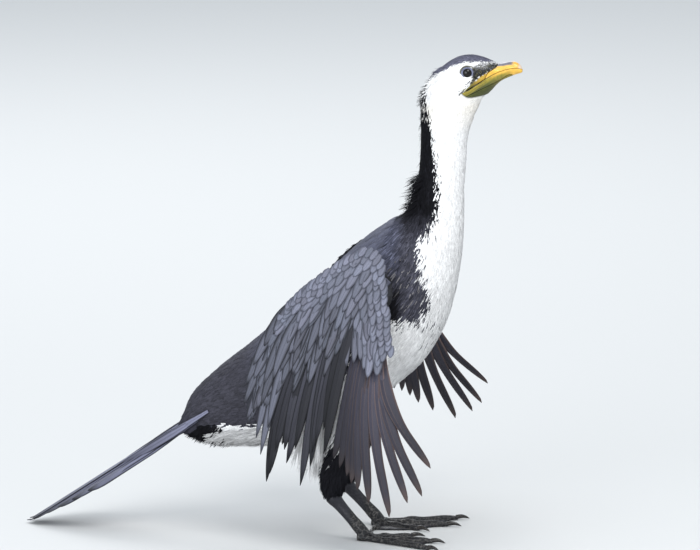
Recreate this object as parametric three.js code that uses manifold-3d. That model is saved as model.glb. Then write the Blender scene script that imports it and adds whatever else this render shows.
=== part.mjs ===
// A little pied cormorant, life size, standing with its wings half open and drooped to dry.
// Millimetres: X points forwards along the bill, Y to the bird's left, Z up, and the floor is z = 0.
import * as THREE from "three";
import { mergeVertices } from "three/addons/utils/BufferGeometryUtils.js";
import Module from "manifold-3d";

const wasm = await Module();
wasm.setup();
const { Manifold, Mesh: SolidMesh } = wasm;

// Driving dimensions.
const GAP = 0.35; // clear space between touching pieces
const FEATHER = 0.65; // thickness of a flight feather
const COVERT = 0.65; // thickness of a covert
const TORSO_END = 10; // body station where the torso ends and the neck begins
const NECK_END = 14; // body station where the neck ends and the head begins
const EYE = { x: 96.5, y: 9.6, z: 376.8, radius: 5 };
const WRIST = { x: 38, y: 65, z: 236 };
const WING_SLOPE = { lead: 19, trail: 5 }; // degrees that the wing sheet leans out, in front and behind
const LEFT_WING = { open: 14, raise: 4 }; // the left wing hangs further open, in degrees, and higher
const WING_DEPTH = 110; // from the leading edge back to the tertials
const TAIL = { x: -122, z: 94, length: 167.7, pairs: 6, layer: 0.95 };
const HEEL = { x: -9, y: 30, z: 34 };
const TOE_JOINT = { x: 17, y: 33, z: 5.6 };

// Body outline, back and belly, with half widths: [back x, back z, belly x, belly z, half width].
const BODY = [
  [-135, 93, -122, 79, 13],
  [-125, 112, -104, 72, 22],
  [-104, 133, -71, 71, 33],
  [-77, 155, -31, 75, 42],
  [-47, 181, 2, 89, 47],
  [-20, 208, 34, 117, 48],
  [2, 230, 60, 142, 47],
  [21, 246, 76, 169, 44],
  [37, 257, 85, 198, 38],
  [47, 264, 90, 226, 30],
  [52, 271, 92, 253, 23],
  [54.5, 284, 92.5, 276, 19.5],
  [57, 303, 94, 300, 17.5],
  [58, 327, 96, 325, 16.5],
  [58, 345, 101, 341, 16.2],
  [59, 356, 105, 350, 16],
  [64, 367, 107.5, 355, 15.8],
  [72, 377, 109.5, 357, 15.4],
  [81, 384.5, 111.5, 358.5, 14.8],
  [90, 388.7, 113.5, 360.5, 13.8],
  [99, 389.7, 115.5, 362.5, 12.2],
  [107.5, 388.2, 117.5, 365, 10.2],
  [114.5, 385.7, 119.5, 367, 8.2],
  [119.5, 383.8, 122, 369.2, 6.8],
  [124.5, 384.2, 125.5, 371.2, 5.7],
  [129.5, 385.2, 130, 373.2, 4.9],
  [134, 384.8, 134.5, 375, 4.1],
  [137.6, 382.6, 137.8, 376, 3.1],
  [139.4, 379.8, 139.3, 376.6, 1.8],
];
const LAST = BODY.length - 1;

// Solids from closed surfaces.
const v3 = (x, y, z) => new THREE.Vector3(x, y, z);
const radians = THREE.MathUtils.degToRad;
const lerp = THREE.MathUtils.lerp;
const smooth = (x) => THREE.MathUtils.smoothstep(x, 0, 1);

function solid(geometry) {
  const bare = geometry.clone();
  bare.deleteAttribute("normal");
  bare.deleteAttribute("uv");
  const merged = mergeVertices(bare, 1e-4);
  const made = (index) =>
    new Manifold(
      new SolidMesh({
        numProp: 3,
        vertProperties: merged.attributes.position.array,
        triVerts: index,
      }),
    );
  const index = new Uint32Array(merged.index.array);
  const first = made(index);
  if (first.volume() > 0) return first;
  for (let i = 0; i < index.length; i += 3) {
    [index[i + 1], index[i + 2]] = [index[i + 2], index[i + 1]];
  }
  return made(index);
}

// A closed surface through rings of equally many points, each end closed by a fan.
function loft(rings) {
  const sides = rings[0].length;
  const points = rings.flat();
  const index = [];
  for (let r = 0; r + 1 < rings.length; r++) {
    for (let s = 0; s < sides; s++) {
      const a = r * sides + s;
      const b = r * sides + ((s + 1) % sides);
      index.push(a, b, b + sides, a, b + sides, a + sides);
    }
  }
  for (const [ring, turned] of [[0, true], [rings.length - 1, false]]) {
    const centre = points.length;
    points.push(rings[ring].reduce((sum, p) => sum.add(p), v3(0, 0, 0)).divideScalar(sides));
    for (let s = 0; s < sides; s++) {
      const a = ring * sides + s;
      const b = ring * sides + ((s + 1) % sides);
      index.push(...(turned ? [centre, b, a] : [centre, a, b]));
    }
  }
  const geometry = new THREE.BufferGeometry().setFromPoints(points);
  geometry.setIndex(index);
  return solid(geometry);
}

// A limb with oval sections along a path: widths go sideways, heights along up.
function limb(path, widths, heights, up, sides = 10, lift = 0) {
  const rings = path.map((centre, i) => {
    const before = path[Math.max(i - 1, 0)];
    const after = path[Math.min(i + 1, path.length - 1)];
    const along = after.clone().sub(before).normalize();
    const side = along.clone().cross(up).normalize();
    const top = side.clone().cross(along).normalize();
    return Array.from({ length: sides }, (_, k) => {
      const angle = (2 * Math.PI * (k + 0.5)) / sides;
      return centre
        .clone()
        .addScaledVector(side, (widths[i] + lift) * Math.cos(angle))
        .addScaledVector(top, (heights[i] + lift) * Math.sin(angle));
    });
  });
  return loft(rings);
}

const join = (pieces) => Manifold.union(pieces);

function largest(whole) {
  return whole.decompose().reduce((a, b) => (b.volume() > a.volume() ? b : a));
}

// What rests on the floor is flat there, and nothing lies under it.
function onFloor(part) {
  return part.warp((point) => {
    point[2] = Math.max(point[2], 0);
  });
}

// Body surface.
const curveOf = (points) => new THREE.CatmullRomCurve3(points, false, "centripetal");
const backLine = curveOf(BODY.map(([x, z]) => v3(x, 0, z)));
const bellyLine = curveOf(BODY.map(([, , x, z]) => v3(x, 0, z)));
const halfWidth = curveOf(BODY.map((row, i) => v3(i, 0, row[4])));

// The point of the body's surface at a station, turned from the back by an angle towards one side.
function bodyPoint(station, angle, lift = 0) {
  const t = station / LAST;
  const back = backLine.getPoint(t);
  const belly = bellyLine.getPoint(t);
  const middle = back.clone().add(belly).multiplyScalar(0.5);
  const up = back.clone().sub(belly);
  const high = up.length() / 2 + lift;
  const wide = halfWidth.getPoint(t).z + lift;
  return middle
    .addScaledVector(up.normalize(), high * Math.cos(angle))
    .add(v3(0, wide * Math.sin(angle), 0));
}

function bodyLength(from, to, rings, sides, lift = 0) {
  const stations = Array.from({ length: rings }, (_, r) => lerp(from, to, r / (rings - 1)));
  return loft(
    stations.map((station) =>
      Array.from({ length: sides }, (_, s) => bodyPoint(station, (2 * Math.PI * s) / sides, lift)),
    ),
  );
}

// Feathers.
const VANE_STEPS = [0, 0.3, 0.6, 0.84, 1];
const COVERT_STEPS = [0, 0.45, 0.8, 1];

// A closed vane along a path. Each station of the path gives its centre and the normal of the wing there.
// It is widest past the middle, narrows to a round tip, and both faces are split alike.
function vane(at, width, thick, steps, { roll = 0, narrow = 0.5, tip = 0.3 } = {}) {
  const small = 1e-3;
  const rings = steps.map((t) => {
    const { point, normal } = at(t);
    const ahead = at(Math.min(t + small, 1)).point;
    const behind = at(Math.max(t - small, 0)).point;
    const along = ahead.clone().sub(behind).normalize();
    const up = normal.clone().applyAxisAngle(along, roll);
    const side = along.clone().cross(up).normalize();
    const swell = lerp(narrow, 1, smooth(t / 0.55));
    const taper = t < 0.8 ? 1 : lerp(1, tip, smooth((t - 0.8) / 0.2));
    const half = (width / 2) * swell * taper;
    const top = (thick / 2) * (t === 1 ? 0.8 : 1);
    const corner = (s, u) => point.clone().addScaledVector(side, s).addScaledVector(up, u);
    return [corner(-half, top), corner(half, top), corner(half, -top), corner(-half, -top)];
  });
  return loft(rings);
}

// Wing sheet: p runs forwards from the wrist, q down along the wing, n out from its surface.
function wingSheet(side) {
  const open = side > 0 ? LEFT_WING.open : 0;
  const raise = side > 0 ? LEFT_WING.raise : 0;
  return (p, q, n = 0) => {
    const back = THREE.MathUtils.clamp(-p / WING_DEPTH, 0, 1);
    const slope = radians(lerp(WING_SLOPE.lead + open, WING_SLOPE.trail + open * 0.5, smooth(back)));
    const tuck = 13 * back * back;
    const droop = Math.max(q, 0);
    return v3(
      WRIST.x + p,
      side * (WRIST.y - tuck + droop * Math.sin(slope) + n * Math.cos(slope)),
      WRIST.z + raise - q * (q > 0 ? Math.cos(slope) : 1) + n * Math.sin(slope),
    );
  };
}

function sheetNormal(sheet, p, q, side) {
  const step = 0.5;
  const alongP = sheet(p + step, q).sub(sheet(p - step, q));
  const alongQ = sheet(p, q + step).sub(sheet(p, q - step));
  return alongQ.cross(alongP).multiplyScalar(side).normalize();
}

// Rows of feathers. Each feather of a row has a ray on the sheet, (p, q) to (p, q), from the first to the last.
// A tier covers a share of every ray, at its own level, so that the tiers lie over one another evenly.
const ROLL = radians(9); // each feather lies over its outer neighbour
const TIER_STEP = 2; // from one tier to the next one out
const PRIMARY_TIPS = [[-32, 168], [-9, 190], [16, 208], [32, 199], [45, 166]];
const primaryTips = curveOf(PRIMARY_TIPS.map(([p, q]) => v3(p, q, 0)));
const between = (a, b, t) => a.map((value, i) => lerp(value, b[i], t));
const HAND = {
  count: 10,
  width: 13.5,
  level: -3,
  stack: 0.6, // each primary's root lies this much under the one before it
  root: (t) => between([-7, 30], [3, 78], t),
  tip: (t) => [primaryTips.getPointAt(t).x, primaryTips.getPointAt(t).y],
  bow: (t) => 2 + 5 * t,
  tiers: [[0, 1], [-0.08, 0.4]],
};
const FOREARM = {
  count: 8,
  width: 12,
  level: 0,
  stack: 0,
  root: (t) => between([-19, 30], [-68, 69], t),
  tip: (t) => between([-45, 157], [-96, 176], t),
  bow: () => 3,
  tiers: [[0, 1], [-0.06, 0.5], [-0.18, 0.26]],
};
const ELBOW = {
  count: 3,
  width: 13,
  level: 0.9,
  stack: -0.95,
  root: (t) => between([-70, 68], [-69, 58], t),
  tip: (t) => between([-103, 162], [-111, 130], t),
  bow: () => 3,
  tiers: [[0, 1]],
};

function featherRow(sheet, side, row, lift = 0) {
  return row.tiers.flatMap(([from, to], tier) =>
    Array.from({ length: row.count }, (_, i) => {
      const t = i / (row.count - 1);
      const root = row.root(t);
      const tip = row.tip(t);
      const at = (share) => {
        const along = lerp(from, to, share);
        const sway = row.bow(t) * Math.sin(Math.PI * THREE.MathUtils.clamp(along, 0, 1));
        const p = lerp(root[0], tip[0], along) - sway;
        const q = lerp(root[1], tip[1], along);
        const sunk = 2.2 * (1 - smooth(share / 0.3));
        const n = row.level + tier * TIER_STEP - row.stack * i * (1 - smooth(along / 0.6)) - (tier ? sunk : 0);
        return { point: sheet(p, q, n), normal: sheetNormal(sheet, p, q, side) };
      };
      const steps = tier ? COVERT_STEPS : VANE_STEPS;
      return vane(at, row.width + 2 * lift, (tier ? COVERT : FEATHER) + 2 * lift, steps, {
        roll: -side * ROLL,
        narrow: tier ? 0.6 : 0.42,
        tip: tier ? 0.45 : 0.36,
      });
    }),
  );
}

// Scapulars lie back along the torso from the shoulder: [start angle, end station, end angle], in degrees.
const SCAPULARS = [
  [54, 4.6, 32],
  [64, 4.0, 43],
  [74, 3.5, 54],
  [84, 3.1, 65],
];
const SHOULDER_STATION = 6.6;

function scapulars(side) {
  return SCAPULARS.map(([from, station, to], row) => {
    const at = (t) => {
      const s = lerp(SHOULDER_STATION, station, t);
      const angle = side * radians(lerp(from, to, t));
      const lift = lerp(2.5 + row * 1.1, 1.8 + row * 1.1, t);
      const point = bodyPoint(s, angle, lift);
      return { point, normal: bodyPoint(s, angle, lift + 1).sub(point).normalize() };
    };
    return vane(at, 18, COVERT, COVERT_STEPS, { tip: 0.4 });
  });
}

// The arm inside the coverts: upper arm, forearm and the skin in front of the elbow.
function wingArm(sheet, side) {
  const outward = v3(0, side, 0.3).normalize();
  const shoulder = bodyPoint(7, side * radians(70), -10);
  const beside = bodyPoint(6.3, side * radians(74), 2);
  const elbow = sheet(-68, 62, -4);
  const middle = sheet(-38, 36, -4.5);
  const wrist = sheet(-9, 8, -4);
  return [
    limb([shoulder, beside, sheet(-44, 40, -9), elbow], [14, 14, 14, 8], [9, 8, 7, 4.5], outward, 8),
    limb([elbow, middle, wrist], [14, 18, 11], [4.5, 5.5, 5.5], outward, 8),
    limb([beside, sheet(-24, 16, -7), wrist], [12, 14, 9], [8, 6.5, 5], outward, 8),
  ];
}

// The hand hangs from the wrist along the leading edge.
function wingHand(sheet, side, lift = 0) {
  const outward = v3(0, side, 0.3).normalize();
  const path = [sheet(-5, 17, -6), sheet(-5, 30, -6.2), sheet(-4, 62, -6.5), sheet(3, 96, -6)];
  return [limb(path, [7.5, 9, 9.5, 4], [5, 5.2, 5, 2.5], outward, 8, lift)];
}

const torsoSeat = bodyLength(0, TORSO_END, 14, 18, GAP);

function wingNodes(side) {
  const sheet = wingSheet(side);
  const hand = (lift) => join([...wingHand(sheet, side, lift), ...featherRow(sheet, side, HAND, lift)]);
  const coverts = join(scapulars(side));
  const arm = join([...wingArm(sheet, side), ...featherRow(sheet, side, FOREARM), ...featherRow(sheet, side, ELBOW)]);
  return {
    arm: largest(join([arm, coverts]).subtract(join([torsoSeat, hand(GAP)]))),
    hand: largest(hand(0)),
  };
}

// Tail: a short fleshy root and a closed, wedge-shaped fan of stiff feathers, laid down to the floor.
const TAIL_SLOPE = Math.asin((TAIL.z - 1) / TAIL.length);

function tailPoint(along, across, up) {
  const c = Math.cos(TAIL_SLOPE);
  const s = Math.sin(TAIL_SLOPE);
  return v3(TAIL.x - along * c + up * s, across, TAIL.z - along * s + up * c);
}

function tail() {
  const normal = tailPoint(0, 0, 1).sub(tailPoint(0, 0, 0));
  const root = [tailPoint(-14, 0, -2), tailPoint(4, 0, -3), tailPoint(28, 0, -4.5)];
  const pieces = [limb(root, [12, 11, 10], [8, 8, 5.5], normal)];
  for (let pair = 0; pair < TAIL.pairs; pair++) {
    for (const side of [-1, 1]) {
      const t = pair / (TAIL.pairs - 1);
      const reach = TAIL.length * (1 - 0.42 * Math.pow(t, 1.25));
      const spread = radians(0.9 + 6.5 * t);
      const layer = -(2 * pair + (side > 0 ? 0 : 1)) * TAIL.layer;
      const at = (u) => {
        const along = lerp(2, reach, u);
        const across = side * (1.5 + 6 * t + along * Math.tan(spread));
        return { point: tailPoint(along, across, layer), normal };
      };
      pieces.push(vane(at, 13, FEATHER, VANE_STEPS, { narrow: 0.55, tip: 0.4 }));
    }
  }
  return onFloor(largest(join(pieces).subtract(torsoSeat)));
}

// A cut along a line in the plane of symmetry, right through the head from side to side.
function sideCut(points) {
  const line = points.map(([x, z]) => new THREE.Vector2(x, z));
  const offset = (i, sign) => {
    const before = line[Math.max(i - 1, 0)];
    const after = line[Math.min(i + 1, line.length - 1)];
    const along = after.clone().sub(before).normalize();
    return line[i].clone().add(new THREE.Vector2(-along.y, along.x).multiplyScalar((sign * GAP) / 2));
  };
  const outline = [...line.map((_, i) => offset(i, 1)), ...line.map((_, i) => offset(i, -1)).reverse()];
  const strip = new THREE.ExtrudeGeometry(new THREE.Shape(outline), { depth: 60, bevelEnabled: false });
  return solid(strip.translate(0, 0, -30).rotateX(Math.PI / 2));
}

const MOUTH_LINE = [[92, 361], [98, 363.3], [106, 368.6], [113, 373.2], [121.6, 377.4], [131, 380], [137, 380], [142, 378]];
const CHIN_LINE = [[91, 362.4], [97, 357.4], [103, 357.2], [111, 358.3], [120, 358.6]];
const BILL_BASE_LINE = [[119, 389], [119.6, 382], [113, 376.5], [110.5, 371.6]];
const POUCH_LINE = [[95, 357.4], [108, 363.8], [121, 370.2], [130.5, 375.4], [134, 371]];

const turnedTo = (centre, direction) =>
  new THREE.Matrix4()
    .makeRotationFromQuaternion(new THREE.Quaternion().setFromUnitVectors(v3(0, 0, 1), direction))
    .setPosition(centre);

function headPieces() {
  let head = bodyLength(NECK_END + 0.02, LAST, 24, 18);
  const balls = [];
  for (const side of [-1, 1]) {
    const centre = v3(EYE.x, side * EYE.y, EYE.z);
    const look = v3(0.16, side, 0.05).normalize();
    const lids = new THREE.TorusGeometry(EYE.radius * 0.86, 0.95, 6, 14);
    lids.applyMatrix4(turnedTo(centre.clone().addScaledVector(look, EYE.radius * 0.66), look));
    const socket = new THREE.IcosahedronGeometry(EYE.radius + GAP, 2).translate(...centre);
    head = join([head, solid(lids)]).subtract(solid(socket));
    balls.push(solid(new THREE.IcosahedronGeometry(EYE.radius, 2).translate(...centre)));
  }
  const cuts = [MOUTH_LINE, CHIN_LINE, BILL_BASE_LINE, POUCH_LINE].map(sideCut);
  const parts = head.subtract(join(cuts)).decompose();
  const partAt = (x, z) => {
    const probe = solid(new THREE.BoxGeometry(0.6, 0.6, 0.6).translate(x, 0, z));
    return parts.find((part) => part.intersect(probe).volume() > 0);
  };
  return {
    head: partAt(75, 365),
    bill_upper: partAt(127, 382),
    bill_lower: partAt(124, 376),
    gular_pouch: partAt(110, 362),
    eye_right: balls[0],
    eye_left: balls[1],
  };
}

// Legs. The thigh is feathered down to the heel, and the shank slopes forwards to the toes.
function thigh(side, shankSeat) {
  const path = [v3(14, side * 26, 112), v3(6, side * 29, 84), v3(-4, side * 30, 60), v3(-10, side * 30, 34)];
  return largest(
    limb(path, [22, 19, 12, 7], [16, 14, 10, 7], v3(1, 0, 0), 12).subtract(torsoSeat).subtract(shankSeat),
  );
}

function shank(side, lift = 0) {
  const heel = v3(HEEL.x, side * HEEL.y, HEEL.z);
  const toe = v3(TOE_JOINT.x, side * TOE_JOINT.y, TOE_JOINT.z);
  const at = (t) => heel.clone().lerp(toe, t);
  const path = [at(-0.14), at(0.02), at(0.22), at(0.6), at(0.97)];
  return limb(path, [3, 6.3, 4.2, 3.8, 5], [3, 6, 5, 4.4, 4.6], v3(1, 0, 0.4), 10, lift);
}

// Toes: [direction in degrees from straight ahead, outwards; length; radius at the joint].
const TOES = {
  hind: { turn: -88, length: 22, radius: 3 },
  inner: { turn: -26, length: 41, radius: 3.2 },
  middle: { turn: 4, length: 57, radius: 3.5 },
  outer: { turn: 30, length: 68, radius: 3.5 },
};
const CLAW = { length: 10, radius: 1.7 };
const WEB = { low: 0.9, thick: 1.3, inset: 0.78 };

function toeDirection(toe, side) {
  const angle = radians(toe.turn);
  return v3(Math.cos(angle), side * Math.sin(angle), 0);
}

function toeSolid(toe, side) {
  const start = v3(TOE_JOINT.x, side * TOE_JOINT.y, 0);
  const direction = toeDirection(toe, side);
  const steps = [-0.06, 0.3, 0.42, 0.56, 0.84, 1];
  const swell = [1.05, 0.85, 0.98, 0.76, 0.78, 0.55];
  const path = steps.map((t, i) =>
    start.clone().addScaledVector(direction, t * toe.length).setZ(toe.radius * swell[i] * 0.62),
  );
  const radii = swell.map((s) => s * toe.radius);
  return onFloor(limb(path, radii, radii, v3(0, 0, 1), 6));
}

function webPoint(toe, side, share) {
  return v3(TOE_JOINT.x, side * TOE_JOINT.y, 0).addScaledVector(toeDirection(toe, side), toe.length * share);
}

function web(side) {
  const toes = Object.values(TOES);
  const shape = new THREE.Shape();
  shape.moveTo(TOE_JOINT.x - 3, side * TOE_JOINT.y);
  toes.forEach((toe, i) => {
    const tip = webPoint(toe, side, 0.93);
    if (i === 0) {
      shape.lineTo(tip.x, tip.y);
      return;
    }
    const last = webPoint(toes[i - 1], side, WEB.inset);
    const next = webPoint(toe, side, WEB.inset);
    shape.quadraticCurveTo((last.x + next.x) / 2, (last.y + next.y) / 2, tip.x, tip.y);
  });
  const plate = new THREE.ExtrudeGeometry(shape, { depth: WEB.thick, bevelEnabled: false, curveSegments: 4 });
  return solid(plate.translate(0, 0, WEB.low));
}

function foot(side, shankSeat) {
  const toes = Object.values(TOES).map((toe) => toeSolid(toe, side));
  const joint = v3(TOE_JOINT.x, side * TOE_JOINT.y, 0);
  const pad = onFloor(
    limb([joint.clone().add(v3(-5, 0, 2.6)), joint.clone().add(v3(7, 0, 2.4))], [5.5, 7], [4, 4], v3(0, 0, 1), 8),
  );
  return largest(join([...toes, pad, web(side)]).subtract(shankSeat));
}

function claw(toe, side) {
  const direction = toeDirection(toe, side);
  const start = webPoint(toe, side, 1).addScaledVector(direction, GAP);
  const at = (t, z) => start.clone().addScaledVector(direction, t * CLAW.length).setZ(z);
  const path = [at(0, 1.9), at(0.5, 2.2), at(1, 0.55)];
  const radii = [1, 0.8, 0.18].map((share) => share * CLAW.radius);
  return onFloor(limb(path, radii, radii, v3(0, 0, 1), 7));
}

// Materials, one for each kind of surface.
const material = (color, roughness, metalness = 0) =>
  new THREE.MeshStandardMaterial({ color, roughness, metalness });
const MATERIALS = {
  plumage_white: material(0xe9e7e6, 0.9),
  plumage_dark: material(0x2b2c35, 0.75),
  wing_grey: material(0x4a4c5a, 0.6),
  bill_yellow: material(0xd8a32a, 0.45),
  gular_green: material(0x6f7a26, 0.5),
  eye_dark: material(0x1c1d2b, 0.12),
  leg_black: material(0x22232a, 0.55),
  claw_black: material(0x15151a, 0.4),
};

const model = new THREE.Group();
model.name = "cormorant";

function add(name, finish, part) {
  const { vertProperties, triVerts } = part.getMesh();
  const geometry = new THREE.BufferGeometry();
  geometry.setAttribute("position", new THREE.BufferAttribute(new Float32Array(vertProperties), 3));
  geometry.setIndex(new THREE.BufferAttribute(new Uint32Array(triVerts), 1));
  geometry.computeVertexNormals();
  const mesh = new THREE.Mesh(geometry, MATERIALS[finish]);
  mesh.name = name;
  model.add(mesh);
}

add("torso", "plumage_dark", bodyLength(0, TORSO_END - 0.01, 14, 18));
add("neck", "plumage_white", bodyLength(TORSO_END + 0.01, NECK_END, 7, 16));
const face = headPieces();
add("head", "plumage_white", face.head);
add("bill_upper", "bill_yellow", face.bill_upper);
add("bill_lower", "bill_yellow", face.bill_lower);
add("gular_pouch", "gular_green", face.gular_pouch);
add("eye_right", "eye_dark", face.eye_right);
add("eye_left", "eye_dark", face.eye_left);
add("tail", "wing_grey", tail());
for (const [name, side] of [["right", -1], ["left", 1]]) {
  const shankSeat = shank(side, GAP);
  const { arm, hand } = wingNodes(side);
  add(`wing_${name}`, "wing_grey", arm);
  add(`hand_${name}`, "wing_grey", hand);
  add(`thigh_${name}`, "plumage_dark", thigh(side, shankSeat));
  add(`shank_${name}`, "leg_black", shank(side));
  add(`foot_${name}`, "leg_black", foot(side, shankSeat));
  for (const [toeName, toe] of Object.entries(TOES)) {
    add(`claw_${toeName}_${name}`, "claw_black", claw(toe, side));
  }
}

// The origin is the centre of the bounding box's bottom face, on the floor.
const box = new THREE.Box3().setFromObject(model);
const middle = box.getCenter(v3(0, 0, 0));
model.position.set(-middle.x, -middle.y, -box.min.z);

export default model;
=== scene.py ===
import math

import bmesh
import bpy
import numpy as np
from mathutils import Matrix, Vector
from mathutils.kdtree import KDTree

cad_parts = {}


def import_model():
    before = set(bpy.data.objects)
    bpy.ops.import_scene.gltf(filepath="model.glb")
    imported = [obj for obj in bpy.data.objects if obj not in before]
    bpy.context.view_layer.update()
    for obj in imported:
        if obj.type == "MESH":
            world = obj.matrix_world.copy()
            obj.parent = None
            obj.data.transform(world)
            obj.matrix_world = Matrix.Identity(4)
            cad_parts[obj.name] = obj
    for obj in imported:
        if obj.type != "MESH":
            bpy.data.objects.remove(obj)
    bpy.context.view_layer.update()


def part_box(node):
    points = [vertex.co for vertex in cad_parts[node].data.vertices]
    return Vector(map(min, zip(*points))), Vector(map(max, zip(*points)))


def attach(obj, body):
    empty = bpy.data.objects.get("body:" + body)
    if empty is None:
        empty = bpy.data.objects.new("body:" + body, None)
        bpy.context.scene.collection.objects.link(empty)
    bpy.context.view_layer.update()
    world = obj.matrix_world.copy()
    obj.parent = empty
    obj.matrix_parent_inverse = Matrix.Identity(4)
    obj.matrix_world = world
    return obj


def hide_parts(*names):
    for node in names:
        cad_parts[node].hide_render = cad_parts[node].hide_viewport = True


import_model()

RNG = np.random.default_rng(11)
SIDES = ((-1, "right"), (1, "left"))

# Frame.
# All shapes are worked out in the bird's own millimetres, and moved to the row's frame by SHIFT.
EYE = dict(x=96.5, y=9.6, z=376.8, radius=5.0)
WRIST = dict(x=38.0, y=65.0, z=236.0)
WING_SLOPE = (19.0, 5.0)
LEFT_WING = (14.0, 4.0)
WING_DEPTH = 110.0
TAIL = dict(x=-122.0, z=94.0, length=167.7, layer=0.95)
HEEL = (-9.0, 30.0, 34.0)
TOE_JOINT = (17.0, 33.0, 5.6)
# Size of the voxels, in metres, that give each bare piece its mesh.
VOXEL = dict(skin=0.0011, bill=0.00032, pouch=0.0004, arm=0.0013, leg=0.00055)

lo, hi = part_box("eye_right")
eye_cad = (np.array(lo) + np.array(hi)) / 2 * 1000
SHIFT = eye_cad - np.array([EYE["x"], -EYE["y"], EYE["z"]])


def world(points):
    return (np.asarray(points, float) + SHIFT) / 1000


# Side view of the bird, in pixels of the photograph's frame: where markings are read off.
AZ = EL = math.radians(10)
VIEW_R = np.array([math.cos(AZ), math.sin(AZ), 0])
VIEW_B = np.array([math.sin(AZ) * math.cos(EL), -math.cos(AZ) * math.cos(EL), math.sin(EL)])
VIEW_U = np.cross(VIEW_B, VIEW_R)
AIM = np.array([-6.2, 34.9, 202.3])
MM_PER_PX = 0.8


def side_view(p):
    """Pixel place of points, each taken on the bird's right side, so both sides get the same markings."""
    q = np.array(p, float)
    q[:, 1] = -np.abs(q[:, 1])
    return 350 + q @ VIEW_R / MM_PER_PX, 530 - q @ VIEW_U / MM_PER_PX


# Curves.
def unit(v):
    v = np.asarray(v, float)
    return v / np.maximum(np.linalg.norm(v, axis=-1, keepdims=True), 1e-12)


def smooth(x):
    x = np.clip(x, 0, 1)
    return x * x * (3 - 2 * x)


def lerp(a, b, t):
    return a + (b - a) * t


def square_to(v, axis):
    """Directions v turned square to the directions axis."""
    return unit(v - axis * np.sum(v * axis, 1, keepdims=True))


def grid(a, b):
    return np.meshgrid(a, b, indexing="ij")


class Spline:
    """A centripetal Catmull-Rom curve through points, read by share of its points."""

    def __init__(self, points):
        p = np.asarray(points, float)
        self.p = np.vstack([2 * p[0] - p[1], p, 2 * p[-1] - p[-2]])
        self.n = len(p)

    def __call__(self, station):
        s = np.clip(np.asarray(station, float), 0, self.n - 1 - 1e-9)
        i = s.astype(int)
        w = (s - i)[:, None]
        p0, p1, p2, p3 = (self.p[i + k] for k in range(4))
        pairs = (p0, p1), (p1, p2), (p2, p3)
        d0, d1, d2 = (np.linalg.norm(b - a, axis=1)[:, None] ** 0.5 for a, b in pairs)
        t1 = ((p1 - p0) / d0 - (p2 - p0) / (d0 + d1) + (p2 - p1) / d1) * d1
        t2 = ((p2 - p1) / d1 - (p3 - p1) / (d1 + d2) + (p3 - p2) / d2) * d1
        c2 = -3 * p1 + 3 * p2 - 2 * t1 - t2
        c3 = 2 * p1 - 2 * p2 + t1 + t2
        return p1 + t1 * w + c2 * w**2 + c3 * w**3


BODY = np.array([
    [-135, 93, -122, 79, 13],
    [-125, 112, -104, 72, 22],
    [-104, 133, -71, 71, 33],
    [-77, 155, -31, 75, 42],
    [-47, 181, 2, 89, 47],
    [-20, 208, 34, 117, 48],
    [2, 230, 60, 142, 47],
    [21, 246, 76, 169, 44],
    [37, 257, 85, 198, 38],
    [47, 264, 90, 226, 30],
    [52, 271, 92, 253, 23],
    [54.5, 284, 92.5, 276, 19.5],
    [57, 303, 94, 300, 17.5],
    [58, 327, 96, 325, 16.5],
    [58, 345, 101, 341, 16.2],
    [59, 356, 105, 350, 16],
    [64, 367, 107.5, 355, 15.8],
    [72, 377, 109.5, 357, 15.4],
    [81, 384.5, 111.5, 358.5, 14.8],
    [90, 388.7, 113.5, 360.5, 13.8],
    [99, 389.7, 115.5, 362.5, 12.2],
    [107.5, 388.2, 117.5, 365, 10.2],
    [114.5, 385.7, 119.5, 367, 8.2],
    [119.5, 383.8, 122, 369.2, 6.8],
    [124.5, 384.2, 125.5, 371.2, 5.7],
    [129.5, 385.2, 130, 373.2, 4.9],
    [134, 384.8, 134.5, 375, 4.1],
    [137.6, 382.6, 137.8, 376, 3.1],
    [139.4, 379.8, 139.3, 376.6, 1.8],
])
LAST = len(BODY) - 1
BACK = Spline(BODY[:, 0:2])
BELLY = Spline(BODY[:, 2:4])
HALF = Spline(np.column_stack([np.arange(len(BODY)), BODY[:, 4]]))


def body_point(station, angle, lift=0.0):
    station, angle, lift = np.broadcast_arrays(*(np.asarray(v, float) for v in (station, angle, lift)))
    shape = station.shape
    station, angle, lift = station.ravel(), angle.ravel(), lift.ravel()
    back, belly = BACK(station), BELLY(station)
    mid, up = (back + belly) / 2, back - belly
    half = np.linalg.norm(up, axis=1)
    high = half / 2 + lift
    up = up / half[:, None]
    wide = HALF(station)[:, 1] + lift
    xz = mid + up * (high * np.cos(angle))[:, None]
    out = np.column_stack([xz[:, 0], wide * np.sin(angle), xz[:, 1]])
    return out.reshape(shape + (3,))


def body_frame(station, angle, lift=0.0):
    """Place, outward normal and the plumage's lie, back along the body, at points of its surface."""
    p = body_point(station, angle, lift)
    lie = unit(body_point(station - 0.02, angle, lift) - body_point(station + 0.02, angle, lift))
    around = unit(body_point(station, angle + 0.01, lift) - body_point(station, angle - 0.01, lift))
    normal = unit(np.cross(around, lie))
    centre = body_point(station, angle, -4.0)
    flip = np.sign(np.sum((p - centre) * normal, axis=-1, keepdims=True))
    return p, normal * flip, lie


# Meshes.
def add_object(name, data):
    obj = bpy.data.objects.new(name, data)
    bpy.context.scene.collection.objects.link(obj)
    return obj


def paint(mesh, name, colour):
    """A colour at each point of a mesh."""
    attribute = mesh.attributes.new(name, "FLOAT_COLOR", "POINT")
    rgba = np.column_stack([colour, np.ones(len(colour))])
    attribute.data.foreach_set("color", rgba.astype(np.float32).ravel())


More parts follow.
